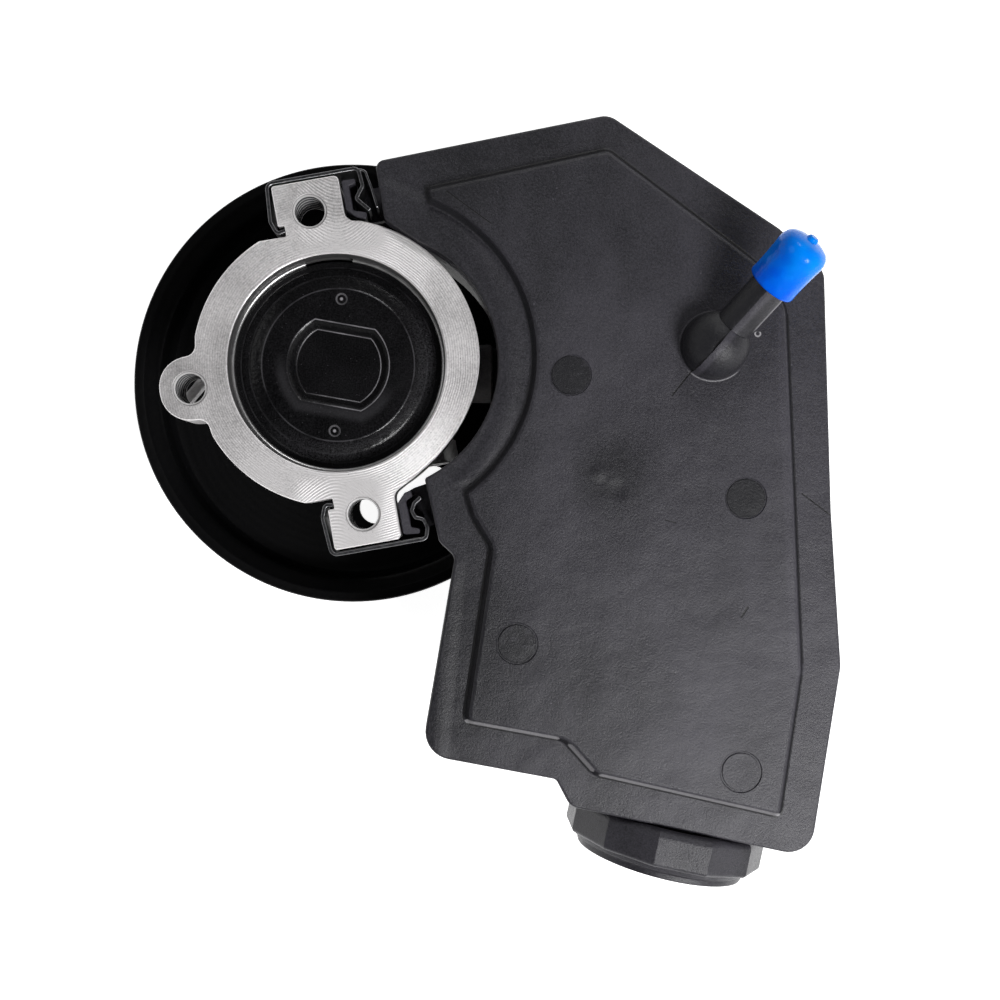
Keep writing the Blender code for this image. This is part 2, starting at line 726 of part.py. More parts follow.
def ring_outline():
    """Rear ring, with a shallow relief on the side of the outlet."""
    points = []
    sides = 48
    for i in range(sides):
        degrees = 360.0 * i / sides
        away = (degrees - RELIEF_AT + 180.0) % 360.0 - 180.0
        relief = 0.0
        if abs(away) < RELIEF_SPREAD:
            relief = RING_RELIEF * 0.5 * (1 + math.cos(math.pi * away / RELIEF_SPREAD))
        points.append(polar(RING_R - relief, degrees))
    return points


def ear(side):
    """Square ear that carries the reservoir clip."""
    base = RING_R - 7 * MM
    foot = RING_R - 2.2 * MM
    corners = [
        (EAR_END, -EAR_HALF_WIDTH, EAR_CORNER_R / 2),
        (EAR_END, EAR_HALF_WIDTH, EAR_CORNER_R),
        (foot, EAR_HALF_WIDTH, EAR_FILLET_R),
        (base, EAR_HALF_WIDTH + 9 * MM, 0),
        (base - 10 * MM, 0, 0),
        (base, -EAR_HALF_WIDTH, 0),
    ]
    return ear_outline(side, corners)


def ear_notch(side):
    """Notch under the ear's corner that takes the clip's hook, open across the ring."""
    top = EAR_PITCH_R - NOTCH_BELOW_HOLE
    bottom = top - NOTCH_WIDTH
    inner = -EAR_HALF_WIDTH + NOTCH_DEPTH
    outer = -0.5 * RING_R
    return ear_outline(side, [(bottom, inner, 0), (top, inner, 0), (top, outer, 0), (bottom, outer, 0)])


def side_ear():
    """Round ear on the side away from the reservoir."""
    end = SIDE_EAR_PITCH_R + SIDE_EAR_R
    foot = RING_R - 1.8 * MM
    base = RING_R - 8 * MM
    flare = SIDE_EAR_R + 0.6 * MM
    corners = [
        (end, SIDE_EAR_R, SIDE_EAR_R * 0.98),
        (end, -SIDE_EAR_R, SIDE_EAR_R * 0.98),
        (foot, -flare, 2.4 * MM),
        (base, -flare - 7 * MM, 0),
        (base - 8 * MM, 0, 0),
        (base, flare + 7 * MM, 0),
        (foot, flare, 2.4 * MM),
    ]
    across = Vector((-SIDE_OUT.y, SIDE_OUT.x))
    return rounded([(*(SIDE_OUT * out + across * v), r) for out, v, r in corners])


def ear_hole_places():
    upper = EAR_OUT * EAR_PITCH_R
    return [tuple(upper), tuple(-upper), tuple(SIDE_OUT * SIDE_EAR_PITCH_R)]


def flow_point(along, depth=0.0):
    """Point on the flow control axis, counted from the foot of the shaft axis towards the outlet."""
    place = EAR_ACROSS * FLOW_OFFSET - EAR_OUT * along
    return place.x, place.y, level(FLOW_DEPTH) + depth


def housing_casting():
    barrel_floor = CAVITY_DEPTH + FLOOR_THICKNESS
    body = turned(
        "pump_housing",
        [
            (0.0, level(NOSE_DEPTH)),
            (NOSE_R - MM, level(NOSE_DEPTH)),
            (NOSE_R, level(NOSE_DEPTH - MM)),
            (NOSE_R + 0.4 * MM, level(barrel_floor + 1.6 * MM)),
            (NOSE_R + 2.0 * MM, level(barrel_floor)),
            (BARREL_R - 2.5 * MM, level(barrel_floor)),
            (BARREL_R, level(barrel_floor - 3 * MM)),
            (BARREL_R + 0.5 * MM, level(FACE_PLATE_THICKNESS - MM)),
            (0.0, level(FACE_PLATE_THICKNESS - MM)),
        ],
        ALUMINIUM,
    )
    low, high = level(FACE_PLATE_THICKNESS), REAR_FACE
    fuse(body, prism("housing_ring", ring_outline(), low, high))
    for side, name in ((1, "upper"), (-1, "lower")):
        fuse(body, prism(f"housing_ear_{name}", ear(side), low, high))
        rib_low = level(barrel_floor - 4 * MM)
        rib = [
            (RING_R - 10 * MM, -EAR_RIB_THICKNESS / 2, 0),
            (EAR_PITCH_R - EAR_HOLE_R - 1.2 * MM, -EAR_RIB_THICKNESS / 2, 0.6 * MM),
            (EAR_PITCH_R - EAR_HOLE_R - 1.2 * MM, EAR_RIB_THICKNESS / 2, 0.6 * MM),
            (RING_R - 10 * MM, EAR_RIB_THICKNESS / 2, 0),
        ]
        fuse(body, prism(f"housing_rib_{name}", ear_outline(side, rib), rib_low, low + MM))
        cut(body, prism(f"housing_notch_{name}", ear_notch(side), low - MM, high + MM))
    fuse(body, prism("housing_ear_side", side_ear(), low, high))
    fuse(body, rod("housing_flow_boss", FLOW_BOSS_R, flow_point(FLOW_BORE_FROM - FLOW_WALL), flow_point(FLOW_BOSS_TO)))
    port_x = PORT_PAD_X - PORT_SEAL_THICKNESS - 2 * SEAT
    port_z = level(PORT_DEPTH)
    fuse(body, rod("housing_port_boss", PORT_BOSS_R, (BORE_R, 0, port_z), (port_x, 0, port_z)))
    cut(body, turned("housing_cavity", cavity_profile()))
    cut(body, turned("housing_shaft_bore", shaft_bore_profile(), sides=32))
    for x, y in ear_hole_places():
        cut(body, rod("housing_ear_hole", EAR_HOLE_R, (x, y, low - MM), (x, y, high + MM), sides=16))
        cut(body, rod("housing_ear_chamfer", EAR_HOLE_R, (x, y, high - EAR_HOLE_CHAMFER),
                      (x, y, high + EAR_HOLE_CHAMFER), sides=16, end_radius=EAR_HOLE_R + 2 * EAR_HOLE_CHAMFER))
    cut(body, rod("housing_flow_bore", FLOW_BORE_R, flow_point(FLOW_BORE_FROM), flow_point(FLOW_BOSS_TO + MM)))
    spigot_r = PORT_SPIGOT_R + RUN
    cut(body, rod("housing_port_bore", spigot_r, (BORE_R - MM, 0, port_z), (port_x + MM, 0, port_z), sides=20))
    pry = Vector(polar(1.0, 200.0))
    cut(body, rod("housing_pry_hole", PRY_HOLE_R,
                  (*(pry * (BORE_R - MM)), level(COVER_FLANGE_DEPTH - WIRE_R)),
                  (*(pry * (RING_R + MM)), level(COVER_FLANGE_DEPTH - WIRE_R)), sides=12))


def cavity_profile():
    groove_mid = level(COVER_FLANGE_DEPTH - SEAT - WIRE_R)
    groove_half = WIRE_R + 0.25 * MM
    groove_r = BORE_R + 0.8 * WIRE_R + 0.25 * MM
    return [
        (0.0, level(CAVITY_DEPTH)),
        (BORE_R, level(CAVITY_DEPTH)),
        (BORE_R, groove_mid - groove_half),
        (groove_r, groove_mid - groove_half),
        (groove_r, groove_mid + groove_half),
        (BORE_R, groove_mid + groove_half),
        (BORE_R, REAR_FACE - BORE_CHAMFER),
        (BORE_R + BORE_CHAMFER + MM, REAR_FACE + MM),
        (0.0, REAR_FACE + MM),
    ]


def shaft_bore_profile():
    bush_r = SHAFT_R + FIT + BUSH_WALL + SEAT
    bush_low = level(CAVITY_DEPTH + 2 * SEAT + BUSH_LENGTH)
    seal_top = level(NOSE_DEPTH) + 2 * SEAT + SEAL_LENGTH
    return [
        (0.0, level(NOSE_DEPTH + MM)),
        (SEAL_R + SEAT, level(NOSE_DEPTH + MM)),
        (SEAL_R + SEAT, seal_top),
        (SHAFT_R + 2 * RUN, seal_top),
        (SHAFT_R + 2 * RUN, bush_low),
        (bush_r, bush_low),
        (bush_r, level(CAVITY_DEPTH - MM)),
        (0.0, level(CAVITY_DEPTH - MM)),
    ]


def flow_control():
    slide_axis = empty("flow_valve_axis", flow_point(0.0), direction_frame(flow_axis()))
    spool_end = FLOW_BOSS_TO - FITTING_THREAD_LENGTH - 2 * SEAT
    spool_start = spool_end - SPOOL_LENGTH
    frame = Matrix.Translation(flow_point(spool_end)) @ direction_frame(flow_axis())
    land = FLOW_BORE_R - FIT
    turned(
        "flow_valve_spool",
        [
            (0.0, 0.0),
            (0.6 * land, 0.0),
            (land, 0.08 * SPOOL_LENGTH),
            (land, 0.30 * SPOOL_LENGTH),
            (SPOOL_GROOVE_R + RUN, 0.34 * SPOOL_LENGTH),
            (SPOOL_GROOVE_R + RUN, 0.58 * SPOOL_LENGTH),
            (land, 0.62 * SPOOL_LENGTH),
            (land, SPOOL_LENGTH),
            (FLOW_SPRING_R + FLOW_SPRING_WIRE_R + RUN, SPOOL_LENGTH),
            (FLOW_SPRING_R + FLOW_SPRING_WIRE_R + RUN, 0.72 * SPOOL_LENGTH),
            (0.0, 0.72 * SPOOL_LENGTH),
        ],
        STEEL,
        slide_axis,
        SMALL_ROUND,
        frame,
    )
    spring_from = spool_start + 0.28 * SPOOL_LENGTH - SEAT
    coil(
        "flow_valve_spring",
        (FLOW_SPRING_R, FLOW_SPRING_R),
        FLOW_SPRING_WIRE_R,
        flow_point(FLOW_BORE_FROM + SEAT),
        flow_point(spring_from),
        FLOW_SPRING_TURNS,
        SPRING_STEEL,
    )
    seal_from = FLOW_BOSS_TO + SEAT
    seal_to = seal_from + 1.6 * MM
    hex_to = seal_to + SEAT + FITTING_HEX_LENGTH
    fitting_frame = Matrix.Translation(flow_point(hex_to)) @ direction_frame(flow_axis())
    hexagon = prism("outlet_fitting", circle(FITTING_HEX_R, 6), 0.0, FITTING_HEX_LENGTH, STEEL)
    hexagon.data.transform(fitting_frame)
    fuse(
        hexagon,
        rod("outlet_fitting_thread", FLOW_BORE_R - RUN, flow_point(hex_to - MM),
            flow_point(FLOW_BOSS_TO - FITTING_THREAD_LENGTH)),
    )
    cut(
        hexagon,
        rod("outlet_fitting_bore", FITTING_BORE_R, flow_point(hex_to + MM),
            flow_point(FLOW_BOSS_TO - FITTING_THREAD_LENGTH - MM), sides=20),
    )
    seal_frame = Matrix.Translation(flow_point(seal_to)) @ direction_frame(flow_axis())
    turned(
        "outlet_fitting_seal",
        [
            (FLOW_BORE_R, 0.0),
            (FITTING_HEX_R - 0.6 * MM, 0.0),
            (FITTING_HEX_R - 0.6 * MM, seal_to - seal_from),
            (FLOW_BORE_R, seal_to - seal_from),
        ],
        RUBBER,
        None,
        SMALL_ROUND,
        seal_frame,
    )


def flow_axis():
    """Unit vector along the flow control bore, from the outlet towards its blind end."""
    return Vector((EAR_OUT.x, EAR_OUT.y, 0.0))


def pulley_profile():
    """Section of the spun sheave, round from the rear lip over the ribs to the web."""
    rear, front = level(PULLEY_REAR_DEPTH), level(PULLEY_FRONT_DEPTH)
    crest = PULLEY_R - LIP_HEIGHT
    root = crest - RIB_DEPTH
    inner = root - PULLEY_WALL
    middle = 0.5 * (rear + front)
    half = RIB_COUNT * RIB_PITCH / 2
    profile = [(PULLEY_R, front), (PULLEY_R, front + LIP_THICKNESS), (crest, middle - half)]
    for i in range(RIB_COUNT):
        z = middle - half + (i + 0.5) * RIB_PITCH
        profile.append((root, z))
        if i < RIB_COUNT - 1:
            profile.append((crest, z + 0.5 * RIB_PITCH))
    profile += [
        (crest, middle + half),
        (PULLEY_R, rear - LIP_THICKNESS),
        (PULLEY_R, rear),
        (PULLEY_R - LIP_HEIGHT - 1.2 * MM, rear),
        (inner, rear - 2 * LIP_THICKNESS),
    ]
    web_front = level(WEB_DEPTH + WEB_THICKNESS)
    hub_front = level(HUB_WEB_DEPTH + WEB_THICKNESS)
    profile += [
        (inner, level(WEB_DEPTH) + 3 * MM),
        (inner - 3 * MM, level(WEB_DEPTH)),
        (WEB_INNER_R + 8 * MM, level(WEB_DEPTH)),
        (WEB_INNER_R, level(HUB_WEB_DEPTH)),
        (HUB_R + SEAT, level(HUB_WEB_DEPTH)),
        (HUB_R + SEAT, hub_front),
        (WEB_INNER_R, hub_front),
        (WEB_INNER_R + 8 * MM, web_front),
        (inner - 2 * MM, web_front),
        (inner, web_front - 2 * MM),
        (inner, front + 2 * LIP_THICKNESS),
        (PULLEY_R - LIP_HEIGHT - 1.2 * MM, front),
    ]
    return profile


def pulley_window(middle):
    """Kidney-shaped window in the web."""
    sweep = WINDOW_SWEEP / 2
    outer_r, inner_r = WINDOW_R + WINDOW_HALF_WIDTH, WINDOW_R - WINDOW_HALF_WIDTH
    points = arc((0, 0), outer_r, middle - sweep, middle + sweep)
    points += arc(polar(WINDOW_R, middle + sweep), WINDOW_HALF_WIDTH, middle + sweep, middle + sweep + 180)[1:-1]
    points += arc((0, 0), inner_r, middle + sweep, middle - sweep)
    points += arc(polar(WINDOW_R, middle - sweep), WINDOW_HALF_WIDTH, middle - sweep + 180, middle - sweep + 360)[1:-1]
    return points


def pulley(axis):
    sheave = turned("pulley_sheave", pulley_profile(), BLACK_PAINT, axis)
    low, high = level(WEB_DEPTH + WEB_THICKNESS + MM), level(HUB_WEB_DEPTH - MM)
    for i in range(WINDOW_COUNT):
        middle = WINDOW_AT + 360.0 * i / WINDOW_COUNT
        cut(sheave, prism("pulley_window", pulley_window(middle), low, high))
    front = level(PULLEY_FRONT_DEPTH - HUB_RECESS)
    rear = level(HUB_WEB_DEPTH - 2.4 * MM)
    seat = level(HUB_WEB_DEPTH) + SEAT
    groove_low = front + 3 * MM
    groove_high = groove_low + PULLER_GROOVE_WIDTH
    bore = SHAFT_R + RUN / 2
    turned(
        "pulley_hub",
        [
            (bore, front),
            (HUB_R - MM, front),
            (HUB_R, front + MM),
            (HUB_R, groove_low),
            (HUB_R - PULLER_GROOVE_DEPTH, groove_low),
            (HUB_R - PULLER_GROOVE_DEPTH, groove_high),
            (HUB_R, groove_high),
            (HUB_R, seat),
            (HUB_FLANGE_R - 2 * MM, seat),
            (HUB_FLANGE_R - 3 * MM, rear),
            (bore, rear),
        ],
        STEEL,
        axis,
        SHAFT_ROUND,
    )


def saddle(lower, deep, upper):
    """Corners of a concave arc through three points, as its two ends and the apex between them."""
    a, b, c = Vector(lower), Vector(deep), Vector(upper)
    d = 2 * (a.x * (b.y - c.y) + b.x * (c.y - a.y) + c.x * (a.y - b.y))
    x = (a.dot(a) * (b.y - c.y) + b.dot(b) * (c.y - a.y) + c.dot(c) * (a.y - b.y)) / d
    y = (a.dot(a) * (c.x - b.x) + b.dot(b) * (a.x - c.x) + c.dot(c) * (b.x - a.x)) / d
    centre = Vector((x, y))
    radius = (a - centre).length
    half = (a - centre).angle(c - centre) / 2
    middle = (a - centre + c - centre).normalized()
    apex = centre + middle * (radius / math.cos(half))
    past_end = 1.0 + SADDLE_STRAIGHT / radius
    start = apex + (a - apex) * past_end
    end = apex + (c - apex) * past_end
    return [(*start, HORN_EDGE_R), (*apex, radius), (*end, HORN_EDGE_R)]


def scaled(corners):
    return [(x * MM, y * MM, r * MM) for x, y, r in corners]


def flange_corners():
    """Rim of the reservoir: the saddle round the pump, then clockwise round the tank."""
    horn_r = RING_R + HORN_GAP
    hug = saddle(polar(horn_r, LOWER_HORN_AT), (RING_R + SADDLE_GAP, -2.8 * MM), polar(horn_r, UPPER_HORN_AT))
    clear = EAR_HALF_WIDTH + LUG_THICKNESS
    upper_foot = ear_point(1, RING_R - 3.6 * MM, clear + 8.8 * MM)
    upper_corner = ear_point(1, EAR_END + 1.2 * MM, clear + 9.0 * MM)
    lower_notch = ear_point(-1, EAR_END + 2.7 * MM, clear + 8.2 * MM)
    lower_foot = ear_point(-1, EAR_END + 7.6 * MM, clear + 11.9 * MM)
    return (
        hug
        + [(*upper_foot, 2 * MM), (*upper_corner, 2.5 * MM)]
        + scaled(
            [
                (77.6, 70.1, 6),
                (126.3, 37.6, 14),
                (138.8, 25.4, 5),
                (140.7, -42.4, 5),
                (143.5, -86.5, 10),
                (134.8, -140.8, 7.5),
                (66.7, -126.4, 4.5),
                (62.6, -118.6, 2),
                (24.3, -111.5, 8),
            ]
        )
        + [(*lower_foot, 3 * MM), (*lower_notch, 3 * MM)]
    )


def panel_corners():
    """Raised field of the rear half, set in from the rim."""
    deep = RING_R + SADDLE_GAP + PANEL_MARGIN
    start = Vector(polar(deep - PANEL_HORN_SETBACK, LOWER_PANEL_HORN_AT))
    end = Vector(polar(deep - PANEL_HORN_SETBACK, UPPER_PANEL_HORN_AT))
    hug = saddle(start, (deep, 6.7 * MM), end)
    tip = end + Vector((-2.6 * MM, 4.4 * MM))
    notch = start + Vector((1.3 * MM, -7.5 * MM))
    foot = notch + Vector((5.3 * MM, -8.6 * MM))
    tank = scaled(
        [
            (77.3, 60.0, 3.5),
            (119.3, 28.2, 12),
            (127.8, 15.4, 8),
            (132.2, -87.3, 6),
            (126.0, -129.0, 4),
            (73.4, -117.1, 3.5),
            (64.7, -107.4, 2),
            (36.3, -102.2, 2.4),
        ]
    )
    return hug + [(*tip, 2.2 * MM)] + tank + [(*foot, 3 * MM), (*notch, 3 * MM)]


def reservoir_rear_half():
    flange = flange_corners()
    panel = panel_corners()
    lid = loft(
        "reservoir_rear_half",
        [
            (rounded(flange), WELD_LEVEL),
            (rounded(flange), FLANGE_TOP - FLANGE_EDGE),
            (rounded(inset(flange, FLANGE_EDGE)), FLANGE_TOP),
        ],
        BLACK_PLASTIC,
    )
    field = loft(
        "reservoir_panel",
        [
            (rounded(panel), FLANGE_TOP - MM),
            (rounded(panel), PANEL_TOP - PANEL_EDGE_R),
            (rounded(inset(panel, 0.3 * PANEL_EDGE_R)), PANEL_TOP - 0.3 * PANEL_EDGE_R),
            (rounded(inset(panel, PANEL_EDGE_R)), PANEL_TOP),
        ],
    )
    fuse(lid, field)
    tipless = panel[:3] + panel[4:]
    hollow = rounded(inset(tipless, WALL))
    cut(lid, prism("reservoir_rear_hollow", hollow, WELD_LEVEL - MM, PANEL_TOP - WALL))
    centre, along = nozzle_frame()
    fuse(lid, ball("reservoir_elbow", ELBOW_R, centre))
    fuse(lid, rod("reservoir_nozzle", NOZZLE_R, centre, centre + along * NOZZLE_LENGTH, sides=20))
    barb = centre + along * (NOZZLE_LENGTH - 5 * MM)
    fuse(lid, rod("reservoir_nozzle_barb", NOZZLE_R - 0.2 * MM, barb + along * 4.2 * MM, barb, sides=20,
                  end_radius=NOZZLE_R + NOZZLE_BARB))
    cut(lid, rod("reservoir_nozzle_bore", NOZZLE_BORE_R, centre, centre + along * (NOZZLE_LENGTH + MM), sides=12))
    cut(lid, rod("reservoir_elbow_bore", NOZZLE_BORE_R, (centre.x, centre.y, WELD_LEVEL), centre, sides=12))


def ball(name, radius, centre):
    data = bmesh.new()
    bmesh.ops.create_uvsphere(data, u_segments=18, v_segments=9, radius=radius)
    data.transform(Matrix.Translation(centre))
    return new_object(name, data, None)


def nozzle_frame():
    """Centre of the elbow and the unit vector along the nozzle."""
    centre = Vector((*ELBOW_AT, PANEL_TOP + ELBOW_RISE))
    flat = math.cos(math.radians(NOZZLE_ELEVATION))
    x, y = polar(flat, NOZZLE_HEADING)
    return centre, Vector((x, y, math.sin(math.radians(NOZZLE_ELEVATION))))


def nozzle_dust_cap():
    """Soft shipping cap pushed over the end of the nozzle."""
    centre, along = nozzle_frame()
    slide_axis = empty("dust_cap_axis", centre, direction_frame(along))
    inner = NOZZLE_R + NOZZLE_BARB + RUN
    outer = inner + DUST_CAP_WALL
    end = NOZZLE_LENGTH + SEAT + DUST_CAP_WALL
    mouth = end - DUST_CAP_LENGTH
    frame = Matrix.Translation(centre) @ direction_frame(along)
    turned(
        "nozzle_dust_cap",
        [
            (inner, mouth),
            (outer + 0.4 * MM, mouth),
            (outer + 0.3 * MM, mouth + 2 * MM),
            (outer, mouth + 3 * MM),
            (outer - 0.3 * MM, end - 2.4 * MM),
            (outer - MM, end - 0.8 * MM),
            (outer - 2.4 * MM, end),
            (DUST_CAP_TIP_R, end),
            (DUST_CAP_TIP_R - 0.4 * MM, end + 1.2 * MM),
            (0.0, end + 1.2 * MM),
            (0.0, end - DUST_CAP_WALL),
            (inner, end - DUST_CAP_WALL),
        ],
        BLUE_VINYL,
        slide_axis,
        SMALL_ROUND,
        frame,
    )


def lug(side):
    """Hooked tab of the reservoir that lies against an ear, under the clip's spring tongue."""
    near = EAR_HALF_WIDTH + 2 * SEAT
    far = near + LUG_THICKNESS
    top = EAR_END - MM
    corners = [
        (LUG_FROM, near, 0.4 * MM),
        (LUG_FROM, far + LUG_HOOK, 0.6 * MM),
        (LUG_FROM + 1.6 * MM, far + LUG_HOOK, 0.6 * MM),
        (LUG_FROM + 2.6 * MM, far, 0.8 * MM),
        (top - 2.2 * MM, far, 0.8 * MM),
        (top - 1.8 * MM, far + 0.7 * LUG_HOOK, 0.4 * MM),
        (top, far + 0.7 * LUG_HOOK, 0.4 * MM),
        (top, near, MM),
    ]
    return ear_outline(side, corners)


def reservoir_front_half():
    rim = flange_corners()
    wall = inset(rim, FLANGE_WIDTH)
    top = WELD_LEVEL - WELD_STEP
    flange_low = top - FLANGE_THICKNESS
    tub = loft(
        "reservoir_front_half",
        [
            (rounded(inset(wall, TUB_DRAFT + TUB_EDGE_R)), TUB_FLOOR),
            (rounded(inset(wall, TUB_DRAFT + 0.3 * TUB_EDGE_R)), TUB_FLOOR + 0.3 * TUB_EDGE_R),
            (rounded(inset(wall, TUB_DRAFT)), TUB_FLOOR + TUB_EDGE_R),
            (rounded(wall), flange_low - 0.6 * MM),
            (rounded(rim), flange_low),
            (rounded(rim), top),
        ],
        BLACK_PLASTIC,
    )
    for side, name in ((1, "upper"), (-1, "lower")):
        low = level(CLIP_SETBACK + CLIP_WIDTH + SEAT)
        fuse(tub, prism(f"reservoir_lug_{name}", lug(side), low - MM, level(CLIP_SETBACK + SEAT)))
        shelf = [
            (LUG_FROM, EAR_HALF_WIDTH + 2 * SEAT, 0),
            (LUG_FROM, EAR_HALF_WIDTH + SHELF_REACH, 0),
            (EAR_END - 2 * MM, EAR_HALF_WIDTH + SHELF_REACH, 0),
            (EAR_END - 2 * MM, EAR_HALF_WIDTH + 2 * SEAT, 0),
        ]
        fuse(tub, prism(f"reservoir_shelf_{name}", ear_outline(side, shelf), low - LUG_SHELF, low))
    axis_z = level(FILLER_DEPTH)

    def filler_point(along):
        place = FILLER_OFFSET + FILLER_DIRECTION * along
        return place.x, place.y, axis_z

    inside = CAP_GRIP_FROM - FLANGE_WIDTH - 3 * MM
    fuse(tub, rod("reservoir_neck", NECK_R, filler_point(inside), filler_point(NECK_END), sides=32))
    port_z = level(PORT_DEPTH)
    wall_x = PORT_PAD_X + PORT_PAD
    fuse(tub, rod("reservoir_port_pad", PORT_BOSS_R, (PORT_PAD_X, 0, port_z), (wall_x + MM, 0, port_z)))
    fuse(tub, rod("reservoir_spigot", PORT_SPIGOT_R, (BARREL_R + 1.5 * MM, 0, port_z),
                  (wall_x + MM, 0, port_z), sides=20))
    inner = inset(wall, WALL)
    hollow = loft(
        "reservoir_front_hollow",
        [
            (rounded(inset(inner, TUB_DRAFT + 0.6 * TUB_EDGE_R)), TUB_FLOOR + WALL),
            (rounded(inset(inner, TUB_DRAFT)), TUB_FLOOR + WALL + 0.6 * TUB_EDGE_R),
            (rounded(inner), top + MM),
        ],
    )
    cut(tub, hollow)
    cut(tub, rod("reservoir_neck_bore", NECK_BORE_R, filler_point(inside - 12 * MM),
                 filler_point(NECK_END + MM), sides=32))
    cut(tub, rod("reservoir_port_bore", PORT_BORE_R, (BARREL_R, 0, port_z),
                 (wall_x + 6 * MM, 0, port_z), sides=12))
    seal_frame = Matrix.Translation((PORT_PAD_X - SEAT, 0, port_z)) @ direction_frame((-1, 0, 0))
    turned(
        "reservoir_port_seal",
        [
            (PORT_SPIGOT_R + SEAT, 0.0),
            (PORT_BOSS_R - MM, 0.0),
            (PORT_BOSS_R - MM, PORT_SEAL_THICKNESS),
            (PORT_SPIGOT_R + SEAT, PORT_SEAL_THICKNESS),
        ],
        RUBBER,
        None,
        24,
        seal_frame,
    )


def clip_path():
    """Centre line of the spring clip in its ear's frame, as (out, across)."""
    side = -EAR_HALF_WIDTH - CLIP_GAP - CLIP_THICKNESS / 2
    back = EAR_END + CLIP_GAP + CLIP_THICKNESS / 2
    hook = EAR_PITCH_R - NOTCH_BELOW_HOLE - 0.4 * NOTCH_WIDTH
    return [
        (hook, -EAR_HALF_WIDTH + NOTCH_DEPTH - SEAT, 0),
        (hook - 0.6 * MM, side + 0.6 * MM, 1.6 * MM),
        (hook + 3.4 * MM, side - 0.6 * MM, 2.4 * MM),
        (back, side + 0.4 * MM, 2.2 * MM),
        (back, CLIP_REACH - 0.6 * MM, 2.0 * MM),
        (back - 4.6 * MM, CLIP_REACH + 0.6 * MM, 1.6 * MM),
        (EAR_PITCH_R + 2.0 * MM, CLIP_REACH - 2.0 * MM, 1.2 * MM),
        (EAR_PITCH_R - 2.0 * MM, CLIP_REACH + 0.4 * MM, 0),
    ]


def strip_outline(path, thickness):
    """Outline of a bent strip, from its centre line of corners with radii."""
    corners = [Vector((a, b)) for a, b, _ in path]
    left, right = [], []
    for i, here in enumerate(corners):
        before = (here - corners[i - 1]).normalized() if i else None
        after = (corners[i + 1] - here).normalized() if i + 1 < len(corners) else None
        one, two = before or after, after or before
        normal = Vector((-one.y - two.y, one.x + two.x)).normalized()
        reach = thickness / 2 / max(0.3, math.cos(one.angle(two) / 2))
        turn = one.x * two.y - one.y * two.x
        radius = path[i][2]
        grow = math.copysign(thickness / 2, turn) if radius else 0.0
        left.append((*(here + normal * reach), max(0.0, radius - grow)))
        right.append((*(here - normal * reach), max(0.0, radius + grow)))
    return left + right[::-1]


def clips():
    for side, name in ((1, "clip_upper"), (-1, "clip_lower")):
        outline = ear_outline(side, strip_outline(clip_path(), CLIP_THICKNESS))
        prism(name, outline, level(CLIP_SETBACK + CLIP_WIDTH), level(CLIP_SETBACK), SPRING_STEEL)


def cap_outline(grow):
    """Grip of the filler cap: round lobes with shallow scallops between them."""
    points = []
    count = CAP_LOBES * 8
    for i in range(count):
        degrees = 360.0 * i / count
        wave = math.cos(math.radians(degrees * CAP_LOBES))
        dip = CAP_SCALLOP * max(0.0, -wave) ** 0.8
        points.append(polar(CAP_R - dip + grow, degrees))
    return points


